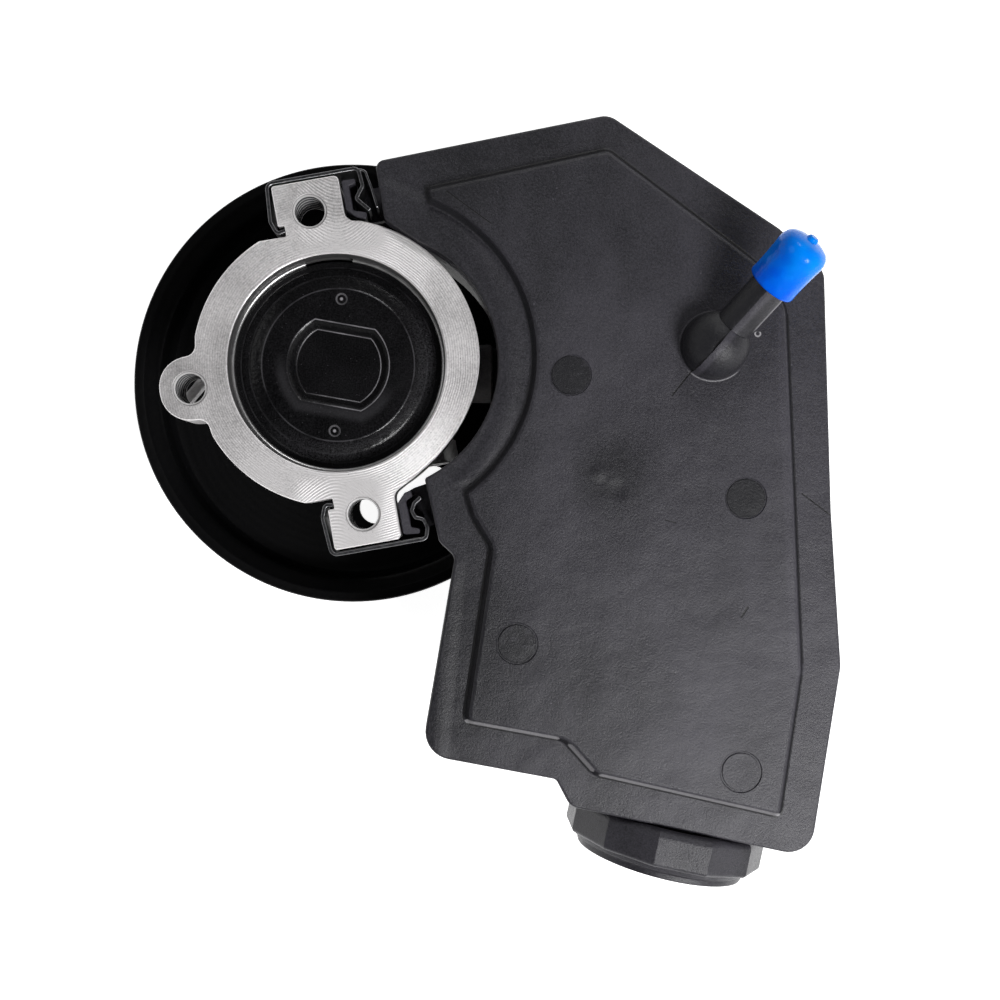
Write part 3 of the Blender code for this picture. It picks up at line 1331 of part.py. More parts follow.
def filler_cap():
    place = Vector((*FILLER_OFFSET, level(FILLER_DEPTH)))
    along = Vector((*FILLER_DIRECTION, 0.0))
    frame = Matrix.Translation(place) @ direction_frame(along)
    lift_axis = empty("filler_lift_axis", place, direction_frame(along))
    turn_axis = empty("filler_turn_axis", place, direction_frame(along))
    bevel = 1.4 * MM
    cap = loft(
        "filler_cap",
        [
            (cap_outline(0.0), CAP_GRIP_FROM),
            (cap_outline(0.0), CAP_GRIP_TO - bevel),
            (cap_outline(-bevel), CAP_GRIP_TO),
        ],
        BLACK_PLASTIC,
        turn_axis,
    )
    step = CAP_DISC_TO - CAP_GRIP_TO
    fuse(cap, turned("filler_cap_disc", [
        (0.0, CAP_GRIP_TO - MM),
        (CAP_R - 2.6 * MM, CAP_GRIP_TO - MM),
        (CAP_R - 3.0 * MM, CAP_GRIP_TO + 0.35 * step),
        (CAP_DISC_R, CAP_GRIP_TO + 0.5 * step),
        (CAP_DISC_R, CAP_DISC_TO - 0.5 * MM),
        (CAP_DISC_R - 0.5 * MM, CAP_DISC_TO),
        (0.0, CAP_DISC_TO),
    ], sides=32))
    ceiling = CAP_DISC_TO - CAP_CEILING
    collar_in = NECK_R + 2 * SEAT
    collar_out = collar_in + CAP_COLLAR_WALL
    skirt_in = CAP_R - CAP_SCALLOP - CAP_WALL
    cut(cap, turned("filler_cap_hollow", [
        (0.0, CAP_GRIP_FROM - MM),
        (collar_in, CAP_GRIP_FROM - MM),
        (collar_in, ceiling),
        (0.0, ceiling),
    ], sides=32))
    cut(cap, turned("filler_cap_groove", [
        (collar_out, CAP_GRIP_FROM - MM),
        (skirt_in, CAP_GRIP_FROM - MM),
        (skirt_in, CAP_GRIP_TO - CAP_CEILING),
        (collar_out, CAP_GRIP_TO - CAP_CEILING),
    ], sides=32))
    for piece in [cap] + [m.object for m in cap.modifiers]:
        piece.data.transform(frame)
    seal_low = NECK_END + SEAT
    seal_high = ceiling - SEAT
    turned(
        "filler_cap_seal",
        [
            (NECK_R - CAP_SEAL_WALL, seal_low),
            (NECK_R, seal_low),
            (NECK_R, seal_high),
            (NECK_R - CAP_SEAL_WALL, seal_high),
        ],
        RUBBER,
        lift_axis,
        36,
        frame,
    )
    plate_r = NECK_R - CAP_SEAL_WALL - SEAT
    half_w, half_t = DIPSTICK_WIDTH / 2, DIPSTICK_THICKNESS / 2
    stick = turned(
        "dipstick",
        [(0.0, NECK_END - 1.2 * MM), (plate_r, NECK_END - 1.2 * MM), (plate_r, seal_high), (0.0, seal_high)],
        BLACK_PLASTIC,
        lift_axis,
        32,
        frame,
    )
    tip = NECK_END - DIPSTICK_LENGTH
    blade = loft(
        "dipstick_blade",
        [
            ([(-half_w * 0.6, -half_t), (half_w * 0.6, -half_t), (half_w * 0.6, half_t), (-half_w * 0.6, half_t)], tip),
            ([(-half_w, -half_t), (half_w, -half_t), (half_w, half_t), (-half_w, half_t)], tip + 4 * MM),
            ([(-half_w, -half_t), (half_w, -half_t), (half_w, half_t), (-half_w, half_t)], NECK_END),
        ],
    )
    blade.data.transform(frame)
    fuse(stick, blade)


def main():
    for thing in list(bpy.data.objects):
        bpy.data.objects.remove(thing, do_unlink=True)
    housing_casting()
    end_cover()
    end_cover_ring()
    seals_in_bore()
    rotating_group()
    bush_and_seal()
    spin_axis = empty("pulley_axis", (0, 0, 0))
    rotor_and_vanes(spin_axis)
    drive_shaft(spin_axis)
    pulley(spin_axis)
    flow_control()
    reservoir_rear_half()
    reservoir_front_half()
    nozzle_dust_cap()
    clips()
    filler_cap()


main()
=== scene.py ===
# %% [markdown]
# # Power steering pump, seen on its rear side
# This lesson dresses a vane pump with its belt pulley and its wrap-around fluid reservoir.
# The solids that carry the joints are loaded first and stay where they are. Each piece that the eye
# rests on is then modelled again over its solid, with the round edges, grooves and threads
# that the real one has, and every surface gets a finish of its own.

import json
import math

import bmesh
import bpy
from mathutils import Matrix, Vector


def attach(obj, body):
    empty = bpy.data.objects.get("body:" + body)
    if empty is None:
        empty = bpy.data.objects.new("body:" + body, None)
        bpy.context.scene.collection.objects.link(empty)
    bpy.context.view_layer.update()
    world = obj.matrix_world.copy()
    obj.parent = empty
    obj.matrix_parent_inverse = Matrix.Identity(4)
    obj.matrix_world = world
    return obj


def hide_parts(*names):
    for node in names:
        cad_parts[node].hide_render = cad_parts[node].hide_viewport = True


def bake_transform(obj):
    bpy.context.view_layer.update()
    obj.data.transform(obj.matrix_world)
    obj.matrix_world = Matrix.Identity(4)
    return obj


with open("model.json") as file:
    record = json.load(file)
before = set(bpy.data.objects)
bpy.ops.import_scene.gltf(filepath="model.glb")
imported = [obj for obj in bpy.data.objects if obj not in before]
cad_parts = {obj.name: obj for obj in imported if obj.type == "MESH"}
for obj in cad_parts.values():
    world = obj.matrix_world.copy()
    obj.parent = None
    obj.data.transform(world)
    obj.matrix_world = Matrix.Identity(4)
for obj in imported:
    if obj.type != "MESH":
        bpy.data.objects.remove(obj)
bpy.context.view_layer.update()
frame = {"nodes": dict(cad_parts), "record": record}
bpy.ops.object.select_all(action="DESELECT")

# %% [markdown]
# ## The bench
# The bench works in millimetres, one unit each, because a bevel or an inset of a tenth of a
# millimetre is then far above the rounding of the numbers. Each finished piece is shrunk to metres.
# A point is a small plane merged to its centre. Everything is drawn from such a point, as with a pen:
# it is extruded along an outline and closed. Outlines at several levels are bridged to a solid, and
# because each one is worked out from the same corners, a round edge never folds over itself.

# %% Pen, loops and slabs
def lay_down():
    """Leaves edit mode with nothing selected."""
    if bpy.context.object and bpy.context.object.mode != "OBJECT":
        bpy.ops.object.mode_set(mode="OBJECT")
    bpy.ops.object.select_all(action="DESELECT")


def pick_up(piece):
    """Makes the piece active and opens its mesh for editing."""
    lay_down()
    bpy.context.view_layer.objects.active = piece
    piece.select_set(True)
    bpy.ops.object.mode_set(mode="EDIT")


def choose(piece, wanted, kind="verts"):
    """Selects, in the open mesh, the parts for which wanted(part) is true."""
    bpy.ops.mesh.select_mode(type={"verts": "VERT", "edges": "EDGE", "faces": "FACE"}[kind])
    bpy.ops.mesh.select_all(action="DESELECT")
    mesh = bmesh.from_edit_mesh(piece.data)
    for part in getattr(mesh, kind):
        part.select = bool(wanted(part))
    mesh.select_flush_mode()
    bmesh.update_edit_mesh(piece.data)


def draw(points):
    """Draws a line of edges through the points, in the open mesh, from a plane merged to a point."""
    bpy.ops.mesh.primitive_plane_add(size=1.0, location=(0, 0, 0))
    bpy.ops.mesh.merge(type="CENTER")
    bpy.ops.transform.translate(value=points[0])
    for here, there in zip(points, points[1:]):
        bpy.ops.mesh.extrude_vertices_move(TRANSFORM_OT_translate={"value": there - here})


def pen(name, lines, closed=True):
    """New mesh with one line of edges for each list of points, left open for editing."""
    lay_down()
    bpy.ops.mesh.primitive_plane_add(size=1.0, location=(0, 0, 0))
    piece = bpy.context.object
    piece.name = piece.data.name = name
    bpy.ops.object.mode_set(mode="EDIT")
    bpy.ops.mesh.select_mode(type="VERT")
    bpy.ops.mesh.delete(type="VERT")
    count = 0
    for points in lines:
        ends = Vector(points[0]), Vector(points[-1])
        draw([Vector(p) for p in points])
        if closed:
            choose(piece, lambda v: v.index >= count and min((v.co - end).length for end in ends) < 1e-3)
            bpy.ops.mesh.edge_face_add()
            bpy.ops.mesh.select_all(action="DESELECT")
        count += len(points)
    bpy.ops.mesh.select_all(action="SELECT")
    return piece


def stack(name, levels):
    """Solid through closed outlines of one count, each with its height, bridged one to the next."""
    piece = pen(name, [[(x, y, height) for x, y in outline] for outline, height in levels])
    count = len(levels[0][0])
    for i in range(len(levels) - 1):
        choose(piece, lambda v: i * count <= v.index < (i + 2) * count)
        bpy.ops.mesh.bridge_edge_loops()
    for i in (0, len(levels) - 1):
        choose(piece, lambda v: i * count <= v.index < (i + 1) * count)
        bpy.ops.mesh.edge_face_add()
    set_outward(piece)
    lay_down()
    return piece


def over(radius, start=0.0, end=90.0, count=4):
    """Steps (inwards, onwards) that round a convex edge, from the wall to the flat."""
    angles = [math.radians(start + (end - start) * i / count) for i in range(count + 1)]
    return [(radius * (math.cos(a) - math.cos(b)), radius * (math.sin(b) - math.sin(a)))
            for a, b in zip(angles, angles[1:])]


def under(radius, start=0.0, end=60.0, count=3):
    """Steps that fill a concave corner, from the flat to a slope."""
    angles = [math.radians(start + (end - start) * i / count) for i in range(count + 1)]
    return [(radius * (math.sin(b) - math.sin(a)), radius * (math.cos(a) - math.cos(b)))
            for a, b in zip(angles, angles[1:])]


def slab(name, corners, low, high, upper=(), lower=()):
    """Solid between two levels inside corners (x, y, radius), its ends worked in steps."""
    area = sum(a[0] * b[1] - b[0] * a[1] for a, b in zip(corners, corners[1:] + corners[:1]))
    corners = corners[::-1] if area > 0 else corners
    rise = {"upper": sum(r for _, r in upper), "lower": sum(r for _, r in lower)}
    levels = [(0.0, low + rise["lower"]), (0.0, high - rise["upper"])]
    for inwards, onwards in upper:
        levels.append((levels[-1][0] + inwards, levels[-1][1] + onwards))
    for inwards, onwards in lower:
        levels.insert(0, (levels[0][0] + inwards, levels[0][1] - onwards))
    return stack(name, [(rounded(inset(corners, grown)), height) for grown, height in levels])


def plain(points):
    """Corners without rounding."""
    return [(x, y, 0.0) for x, y in points]


def set_outward(piece):
    """Turns every face of the open mesh outwards."""
    bpy.ops.mesh.select_all(action="SELECT")
    bpy.ops.mesh.normals_make_consistent(inside=False)
    mesh = bmesh.from_edit_mesh(piece.data)
    if mesh.calc_volume(signed=True) < 0.0:
        bpy.ops.mesh.flip_normals()
    bpy.ops.mesh.select_all(action="DESELECT")


def lathe(name, profile, steps=96, ring=False, sweep=360.0):
    """Turns a profile of (radius, height) points about the upright axis."""
    piece = pen(name, [[(r, 0.0, z) for r, z in profile]], closed=ring)
    bpy.ops.mesh.spin(steps=steps, angle=math.radians(sweep), center=(0, 0, 0), axis=(0, 0, 1))
    bpy.ops.mesh.select_all(action="SELECT")
    bpy.ops.mesh.remove_doubles(threshold=1e-4)
    set_outward(piece)
    lay_down()
    return piece


def aim(piece, place, direction):
    """Turns a piece made along the upright axis to a direction and moves it to its place."""
    lay_down()
    turn = Vector(direction).to_track_quat("Z", "Y").to_matrix().to_4x4()
    piece.matrix_world = Matrix.Translation(place) @ turn
    settle(piece)
    return piece


def settle(piece):
    """Writes the object's place, turn and scale into its mesh."""
    lay_down()
    bpy.context.view_layer.objects.active = piece
    piece.select_set(True)
    bpy.ops.object.transform_apply(location=True, rotation=True, scale=True)
    lay_down()


def work(piece, tool, operation):
    step = piece.modifiers.new(operation.lower(), "BOOLEAN")
    step.operation = operation
    step.solver = "MANIFOLD"
    step.object = tool
    lay_down()
    bpy.context.view_layer.objects.active = piece
    bpy.ops.object.modifier_apply(modifier=step.name)
    bpy.data.objects.remove(tool, do_unlink=True)


def cut(piece, *tools):
    for tool in tools:
        work(piece, tool, "DIFFERENCE")


def fuse(piece, *tools):
    for tool in tools:
        work(piece, tool, "UNION")


def polar(radius, degrees):
    return radius * math.cos(math.radians(degrees)), radius * math.sin(math.radians(degrees))


def arc(centre, radius, start, end, count):
    """Points on an arc, both ends included."""
    steps = (start + (end - start) * i / count for i in range(count + 1))
    return [(centre[0] + polar(radius, a)[0], centre[1] + polar(radius, a)[1]) for a in steps]


def rounded(corners, chord=11.0):
    """Closed outline through corners (x, y, radius), each corner turned into an arc."""
    outline = []
    for i, (x, y, radius) in enumerate(corners):
        here = Vector((x, y))
        back = (Vector(corners[i - 1][:2]) - here).normalized()
        ahead = (Vector(corners[(i + 1) % len(corners)][:2]) - here).normalized()
        opening = back.angle(ahead)
        if radius <= 0.0 or opening > math.pi - 1e-3:
            outline.append((x, y))
            continue
        centre = here + (back + ahead).normalized() * (radius / math.sin(opening / 2))
        reach = radius / math.tan(opening / 2)
        start, end = here + back * reach - centre, here + ahead * reach - centre
        turn = math.atan2(start.x * end.y - start.y * end.x, start.dot(end))
        fine = 3.0 if radius > 25.0 else chord
        steps = max(2, math.ceil(abs(math.degrees(turn)) / fine))
        outline += [tuple(centre + Matrix.Rotation(turn * k / steps, 2) @ start) for k in range(steps + 1)]
    return outline


def inset(corners, distance):
    """The same corners with every side of the clockwise outline moved inwards."""
    moved = []
    for i, (x, y, radius) in enumerate(corners):
        here = Vector((x, y))
        before = (here - Vector(corners[i - 1][:2])).normalized()
        after = (Vector(corners[(i + 1) % len(corners)][:2]) - here).normalized()
        inward = Vector((before.y + after.y, -before.x - after.x)).normalized()
        place = here + inward * (distance / math.cos(before.angle(after) / 2))
        convex = before.x * after.y - before.y * after.x < 0.0
        changed = max(0.1, radius - distance if convex else radius + distance)
        moved.append((*place, changed if radius else 0.0))
    return moved


def rod(name, radius, start, end, steps=48, edge=0.0):
    """Round bar between two points, with its far edge broken."""
    start, end = Vector(start), Vector(end)
    long = (end - start).length
    profile = [(0, 0), (radius, 0), (radius, long - edge), (radius - edge, long), (0, long)]
    if not edge:
        profile.pop(3)
    return aim(lathe(name, profile, steps), start, end - start)


print("bench ready")

# %% [markdown]
# ## Finishes
# A finish is a Principled shader whose colour, roughness and bump vary over the surface. The sums
# behind them are written as Python: a Wire holds a socket and knows the signs, so wire * 2 adds a
# Math node. Every other node comes from Finish.node, which takes its type, its settings and the
# values of its sockets. Patterns read Object coordinates in metres, turned into millimetres.

# %% Wires and finishes
class Wire:
    """A node's output that can be reckoned with."""

    def __init__(self, finish, socket):
        self.finish = finish
        self.socket = socket

    def maths(self, operation, *values):
        return self.finish.node("ShaderNodeMath", {"operation": operation}, dict(enumerate(values)))

    def __add__(self, other):
        return self.maths("ADD", self, other)

    def __sub__(self, other):
        return self.maths("SUBTRACT", self, other)

    def __rsub__(self, other):
        return self.maths("SUBTRACT", other, self)

    def __mul__(self, other):
        return self.maths("MULTIPLY", self, other)

    def __truediv__(self, other):
        return self.maths("DIVIDE", self, other)

    __radd__ = __add__
    __rmul__ = __mul__

    def power(self, exponent):
        return self.maths("POWER", self, exponent)

    def least(self, other):
        return self.maths("MINIMUM", self, other)

    def most(self, other):
        return self.maths("MAXIMUM", self, other)

    def size(self):
        return self.maths("ABSOLUTE", self)

    def wave(self):
        return self.maths("SINE", self)

    def root(self):
        return self.maths("SQRT", self)

    def above(self, low, high, to_low=0.0, to_high=1.0):
        """Smooth step from to_low below low to to_high above high."""
        inputs = {"Value": self, "From Min": low, "From Max": high, "To Min": to_low, "To Max": to_high}
        return self.finish.node("ShaderNodeMapRange", {"interpolation_type": "SMOOTHSTEP"}, inputs)


class Finish:
    """One material, built round a Principled shader."""

    def __init__(self, name, **constants):
        self.material = bpy.data.materials.new(name)
        self.material.use_nodes = True
        self.tree = self.material.node_tree
        self.shader = self.tree.nodes["Principled BSDF"]
        for key, value in constants.items():
            self.shader.inputs[key.replace("_", " ")].default_value = value
        place = self.node("ShaderNodeTexCoord", output="Object")
        self.place = self.node("ShaderNodeVectorMath", {"operation": "SCALE"}, {0: place, "Scale": 1000.0})
        self.x, self.y, self.z = (self.node("ShaderNodeSeparateXYZ", {}, {0: self.place}, i) for i in range(3))

    def node(self, kind, settings=None, inputs=None, output=0):
        made = self.tree.nodes.new(kind)
        for key, value in (settings or {}).items():
            setattr(made, key, value)
        for key, value in (inputs or {}).items():
            if isinstance(value, Wire):
                self.tree.links.new(value.socket, made.inputs[key])
            else:
                made.inputs[key].default_value = value
        return Wire(self, made.outputs[output])

    def noise(self, scale, detail=3.0, rough=0.5, stretch=None):
        """Noise of so many cells in a millimetre, centred on a half."""
        place = self.place
        if stretch:
            place = self.node("ShaderNodeVectorMath", {"operation": "MULTIPLY"}, {0: place, 1: stretch})
        return self.node("ShaderNodeTexNoise", {}, {"Vector": place, "Scale": scale, "Detail": detail, "Roughness": rough})

    def cells(self, scale):
        """Distance to the nearest of so many scattered points in a millimetre."""
        return self.node("ShaderNodeTexVoronoi", {}, {"Vector": self.place, "Scale": scale})

    def blend(self, share, one, other):
        inputs = {0: share, 6: one, 7: other}
        return self.node("ShaderNodeMix", {"data_type": "RGBA"}, inputs, 2)

    def radius(self, x=0.0, y=0.0):
        """Distance from an upright axis."""
        dx, dy = self.x - x, self.y - y
        return (dx * dx + dy * dy).root()

    def near_line(self, start, end, width):
        """One on a fine line between two points of the plan, nought away from it."""
        ax, ay = start
        bx, by = end
        long = math.hypot(bx - ax, by - ay)
        ux, uy = (bx - ax) / long, (by - ay) / long
        along = (self.x - ax) * ux + (self.y - ay) * uy
        across = ((self.y - ay) * ux - (self.x - ax) * uy).size()
        past = ((along - long / 2).size() - long / 2).most(0.0)
        return 1.0 - (across + past).above(width / 2, width)

    def give(self, colour=None, roughness=None, bumps=(), metal=None):
        """Feeds the shader. Bumps are (height, distance in millimetres, strength)."""
        shader = self.shader.inputs
        for value, name in ((colour, "Base Color"), (roughness, "Roughness"), (metal, "Metallic")):
            if isinstance(value, Wire):
                self.tree.links.new(value.socket, shader[name])
            elif value is not None:
                shader[name].default_value = value
        normal = None
        for height, distance, strength in bumps:
            inputs = {"Height": height, "Distance": distance * 0.001, "Strength": strength}
            if normal:
                inputs["Normal"] = normal
            normal = self.node("ShaderNodeBump", {}, inputs)
        if normal:
            self.tree.links.new(normal.socket, shader["Normal"])
        return self.material


print("finishes ready")

# %% [markdown]
# ## Housing
# The body is an aluminium casting. Its rear ring and three ears are milled flat in one pass, so
# that they meet in one plane, and the edges left by the cutter are broken by hand. The ring is drawn
# as one outline with its ears and made a slab. The barrel behind it is turned, and the bosses are fused on.

# %% Ring and ears in one outline
REAR = 8.0                    # level of the milled face
PLATE = 16.0                  # thickness of ring and ears
BORE = 31.1
RING = 41.15
EAR_PITCH, EAR_TOP, EAR_HALF = 44.0, 52.8, 9.7
SIDE_PITCH, SIDE_ROUND = 42.5, 8.7
TILT = 10.0


def on_ear(side, out, across):
    """Point of the upper (1) or lower (-1) ear, by its distance out and across."""
    ux, uy = polar(1.0, 90 + TILT)
    vx, vy = polar(1.0, TILT)
    return ux * out * side + vx * across, uy * out * side + vy * across


def on_side_ear(out, across):
    ux, uy = polar(1.0, 180 + TILT)
    return ux * out + uy * across, uy * out - ux * across


def ring_arc(start, end, count):
    """Points on the ring's edge, relieved on the side of the outlet."""
    points = []
    for i in range(count + 1):
        degrees = start + (end - start) * i / count
        away = abs((degrees + 42 + 180) % 360 - 180)
        relief = 0.9 * (1 + math.cos(math.pi * away / 52)) if away < 52 else 0.0
        points.append((*polar(RING - relief, degrees), 0))
    return points


def square_ear(side):
    """Corners of a square ear, from the reservoir's side to the notch for the clip."""
    path = [(39.6, EAR_HALF, 3.0), (EAR_TOP, EAR_HALF, 1.5), (EAR_TOP, -EAR_HALF, 0.8), (41.1, -EAR_HALF, 0.45),
            (41.1, -7.8, 0.4), (38.0, -7.8, 0.5)]
    return [(*on_ear(side, out, across), r) for out, across, r in path]


side_ear = [(*on_side_ear(39.3, 9.4), 3.2), (*on_side_ear(SIDE_PITCH + SIDE_ROUND, SIDE_ROUND), SIDE_ROUND * 0.985),
            (*on_side_ear(SIDE_PITCH + SIDE_ROUND, -SIDE_ROUND), SIDE_ROUND * 0.985), (*on_side_ear(39.3, -9.4), 3.2)]
corners = (ring_arc(-60.1, 80.1, 60) + square_ear(1) + ring_arc(122.6, 169.5, 20) + side_ear
           + ring_arc(210.5, 257.4, 20) + square_ear(-1)[::-1])
housing = slab("housing", corners, REAR - PLATE, REAR, upper=[(0.28, 0.28)], lower=over(0.9, count=3))
print("ring with ears:", len(corners), "corners,", len(housing.data.polygons), "faces")

# %% [markdown]
# The barrel, the nose round the shaft and the bosses are plain turned forms. Fusing them with the
# slab gives the sharp meeting lines of a casting whose fillets are small.

# %% Barrel, nose, ribs and bosses
NOSE_END, BARREL_END = -57.8, -36.8
FLOW_LEVEL, PORT_LEVEL = -46.8, -22.0
barrel = lathe("barrel", [(0, NOSE_END), (20.2, NOSE_END), (20.8, NOSE_END + 0.3), (21.0, NOSE_END + 1.0),
                          (21.4, BARREL_END - 1.6), (21.9, BARREL_END - 0.6), (23.0, BARREL_END), (34.2, BARREL_END),
                          (35.8, BARREL_END + 0.6), (36.7, BARREL_END + 1.6), (37.0, BARREL_END + 3.0), (37.5, -7.5),
                          (36.0, -6.0), (0, -6.0)], 120)


def on_flow(along, level=FLOW_LEVEL):
    """Point on the axis of the flow control bore, towards its outlet."""
    x, y = on_ear(-1, along, 21.0)
    return x, y, level


flow_boss = lathe("flow_boss", [(0, 0), (9.4, 0), (10.4, 1.0), (10.4, 52.6), (9.6, 53.4), (0, 53.4)], 64)
aim(flow_boss, on_flow(-31.4), Vector(on_flow(22.0)) - Vector(on_flow(0)))
port_boss = rod("port_boss", 9.0, (28, 0, PORT_LEVEL), (45.5, 0, PORT_LEVEL), 64, 0.5)
ribs = []
for side in (1, -1):
    path = [(31.0, -2.0, 0), (38.2, -2.0, 0.7), (38.2, 2.0, 0.7), (31.0, 2.0, 0)]
    ribs.append(slab("rib", [(*on_ear(side, a, b), r) for a, b, r in path], -32.8, -7.0, lower=[(0.5, 0.5)]))
ux, uy = polar(1.0, 50)
bar = [(-44.0 + ux * a - uy * b, -6.1 + uy * a + ux * b, 0.4) for a, b in ((-8, -1.4), (8, -1.4), (8, 1.4), (-8, 1.4))]
ribs.append(slab("rib", bar, -13.5, -7.5, lower=[(0.4, 0.4)]))
fuse(housing, barrel, flow_boss, port_boss, *ribs)
print("housing faces after fusing:", len(housing.data.polygons))

# %% [markdown]
# The bore takes the whole vane group, so it runs nearly through, with a groove for the wire ring near
# its mouth. The ears are threaded: a turned cutter with a saw-tooth outline leaves a thread's
# ridges in the wall, and its wide mouth leaves the bright broken edge.

# %% Bores and threaded ears
GROOVE = 1.65                 # level of the wire ring
cavity = lathe("cavity", [(0, -33.8), (BORE, -33.8), (BORE, GROOVE - 1.1), (32.0, GROOVE - 1.1), (32.0, GROOVE + 1.1),
                          (BORE, GROOVE + 1.1), (BORE, REAR - 0.5), (BORE + 1.5, REAR + 1), (0, REAR + 1)], 144)
shaft_bore = lathe("shaft_bore", [(0, NOSE_END - 1), (14.3, NOSE_END - 1), (14.3, NOSE_END + 6.6), (8.5, NOSE_END + 6.6),
                                  (8.5, -47.4), (10.68, -47.4), (10.68, -33), (0, -33)], 64)
flow_bore = rod("flow_bore", 7.0, on_flow(-28), on_flow(23), 48)
port_bore = rod("port_bore", 5.85, (29, 0, PORT_LEVEL), (46, 0, PORT_LEVEL), 48)
pry_hole = rod("pry_hole", 1.6, (*polar(30, 200), GROOVE), (*polar(42.2, 200), GROOVE), 20)
cut(housing, cavity, shaft_bore, flow_bore, port_bore, pry_hole)


def thread_cutter(x, y):
    """Cutter for a threaded hole through an ear, with a broken edge at both ends."""
    PITCH, CREST, ROOT = 2.4, 4.3, 4.98
    profile = [(0, REAR - PLATE - 1), (CREST + 1.6, REAR - PLATE - 1), (CREST + 0.2, REAR - PLATE + 0.5)]
    level = REAR - PLATE + 0.9
    while level < REAR - PITCH - 0.2:
        profile += [(CREST, level), (CREST, level + 0.25 * PITCH), (ROOT, level + 0.5 * PITCH), (ROOT, level + 0.7 * PITCH)]
        level += PITCH
    profile += [(CREST, level), (4.75, REAR - 0.62), (5.15, REAR), (6.0, REAR + 0.9), (0, REAR + 0.9)]
    tool = lathe("thread", profile, 56)
    tool.location = (x, y, 0)
    settle(tool)
    return tool


holes = [on_ear(1, EAR_PITCH, 0), on_ear(-1, EAR_PITCH, 0), on_side_ear(SIDE_PITCH, 0)]
cut(housing, *(thread_cutter(x, y) for x, y in holes))
print("housing:", len(housing.data.polygons), "faces")

# %% [markdown]
# ## End cover and its wire ring
# A stamped steel cover closes the bore. Its face is a low plateau with a rolled shoulder, and a press
# tool has left a round pocket with two flats. The cover is turned from its section. The pocket's
# cutter is drawn on the floor and walks outwards, so that floor, wall and lip all come out rounded.

# %% Cover with its double-D pocket
cover = lathe("cover", [(0, -3.4), (29.4, -3.4), (30.0, -2.9), (30.2, -2.2), (30.2, 0.8), (28.9, 0.8), (28.3, 0.95),
                        (27.9, 1.35), (26.4, 1.55), (26.1, 1.5), (25.8, 1.62), (25.4, 1.85), (23.4, 2.2), (22.6, 2.25),
                        (22.3, 2.42), (22.1, 2.45), (21.8, 2.36), (21.4, 2.36), (0, 2.4)], 144)


def double_d(grow):
    """Round outline with two flats across the line of the ears."""
    half, radius = 9.4 + grow, 12.3 + grow
    reach = math.degrees(math.asin(half / radius))
    one = arc((0, 0), radius, -TILT - reach, -TILT + reach, 16)
    return one + [(-x, -y) for x, y in one]


walls = [(2.7, 3.4), (2.7, 2.42), (2.58, 2.34), (2.33, 2.22), (1.93, 1.94), (1.18, 1.19), (0.68, 0.54),
         (0.38, 0.19), (0.13, 0.04), (0.0, 0.0)]
pocket = stack("pocket", [(double_d(grow), height) for grow, height in walls])
cut(cover, pocket)
for degrees in (87.0, 267.0):
    x, y = polar(19.2, degrees)
    dimple = lathe("dimple", [(0.7, 2.3), (0.95, 2.02), (1.3, 2.0), (1.55, 2.2), (1.8, 3.0), (0.5, 3.0)], 32, ring=True)
    dimple.location = (x, y, 0)
    settle(dimple)
    cut(cover, dimple)
print("cover:", len(cover.data.polygons), "faces")

# %% [markdown]
# The wire ring is a piece of spring wire bent almost to a full circle. A disc is spun round the axis
# and its ends stay open by the gap through which it is pulled out.

# %% Wire ring
lay_down()
bpy.ops.mesh.primitive_circle_add(vertices=14, radius=0.85, fill_type="NGON", location=(0, 0, 0), rotation=(math.pi / 2, 0, 0))
wire = bpy.context.object
wire.name = "wire"
wire.location = (30.95, 0, GROOVE)
settle(wire)
pick_up(wire)
bpy.ops.mesh.select_all(action="SELECT")
bpy.ops.mesh.spin(steps=110, angle=math.radians(-334.0), center=(0, 0, 0), axis=(0, 0, 1))
set_outward(wire)
lay_down()
wire.rotation_euler = (0, 0, math.radians(108))
settle(wire)
low, high = (min(math.degrees(math.atan2(v.co.y, v.co.x)) % 360 for v in wire.data.vertices),
             max(math.degrees(math.atan2(v.co.y, v.co.x)) % 360 for v in wire.data.vertices))
print("wire ring: angles", round(low), "to", round(high))

# %% [markdown]
# ## Pulley
# The sheave is spun from sheet steel: a rim with six grooves between two lips, and a dished web with
# kidney-shaped windows. The section is drawn once round and turned. The windows are cut afterwards.

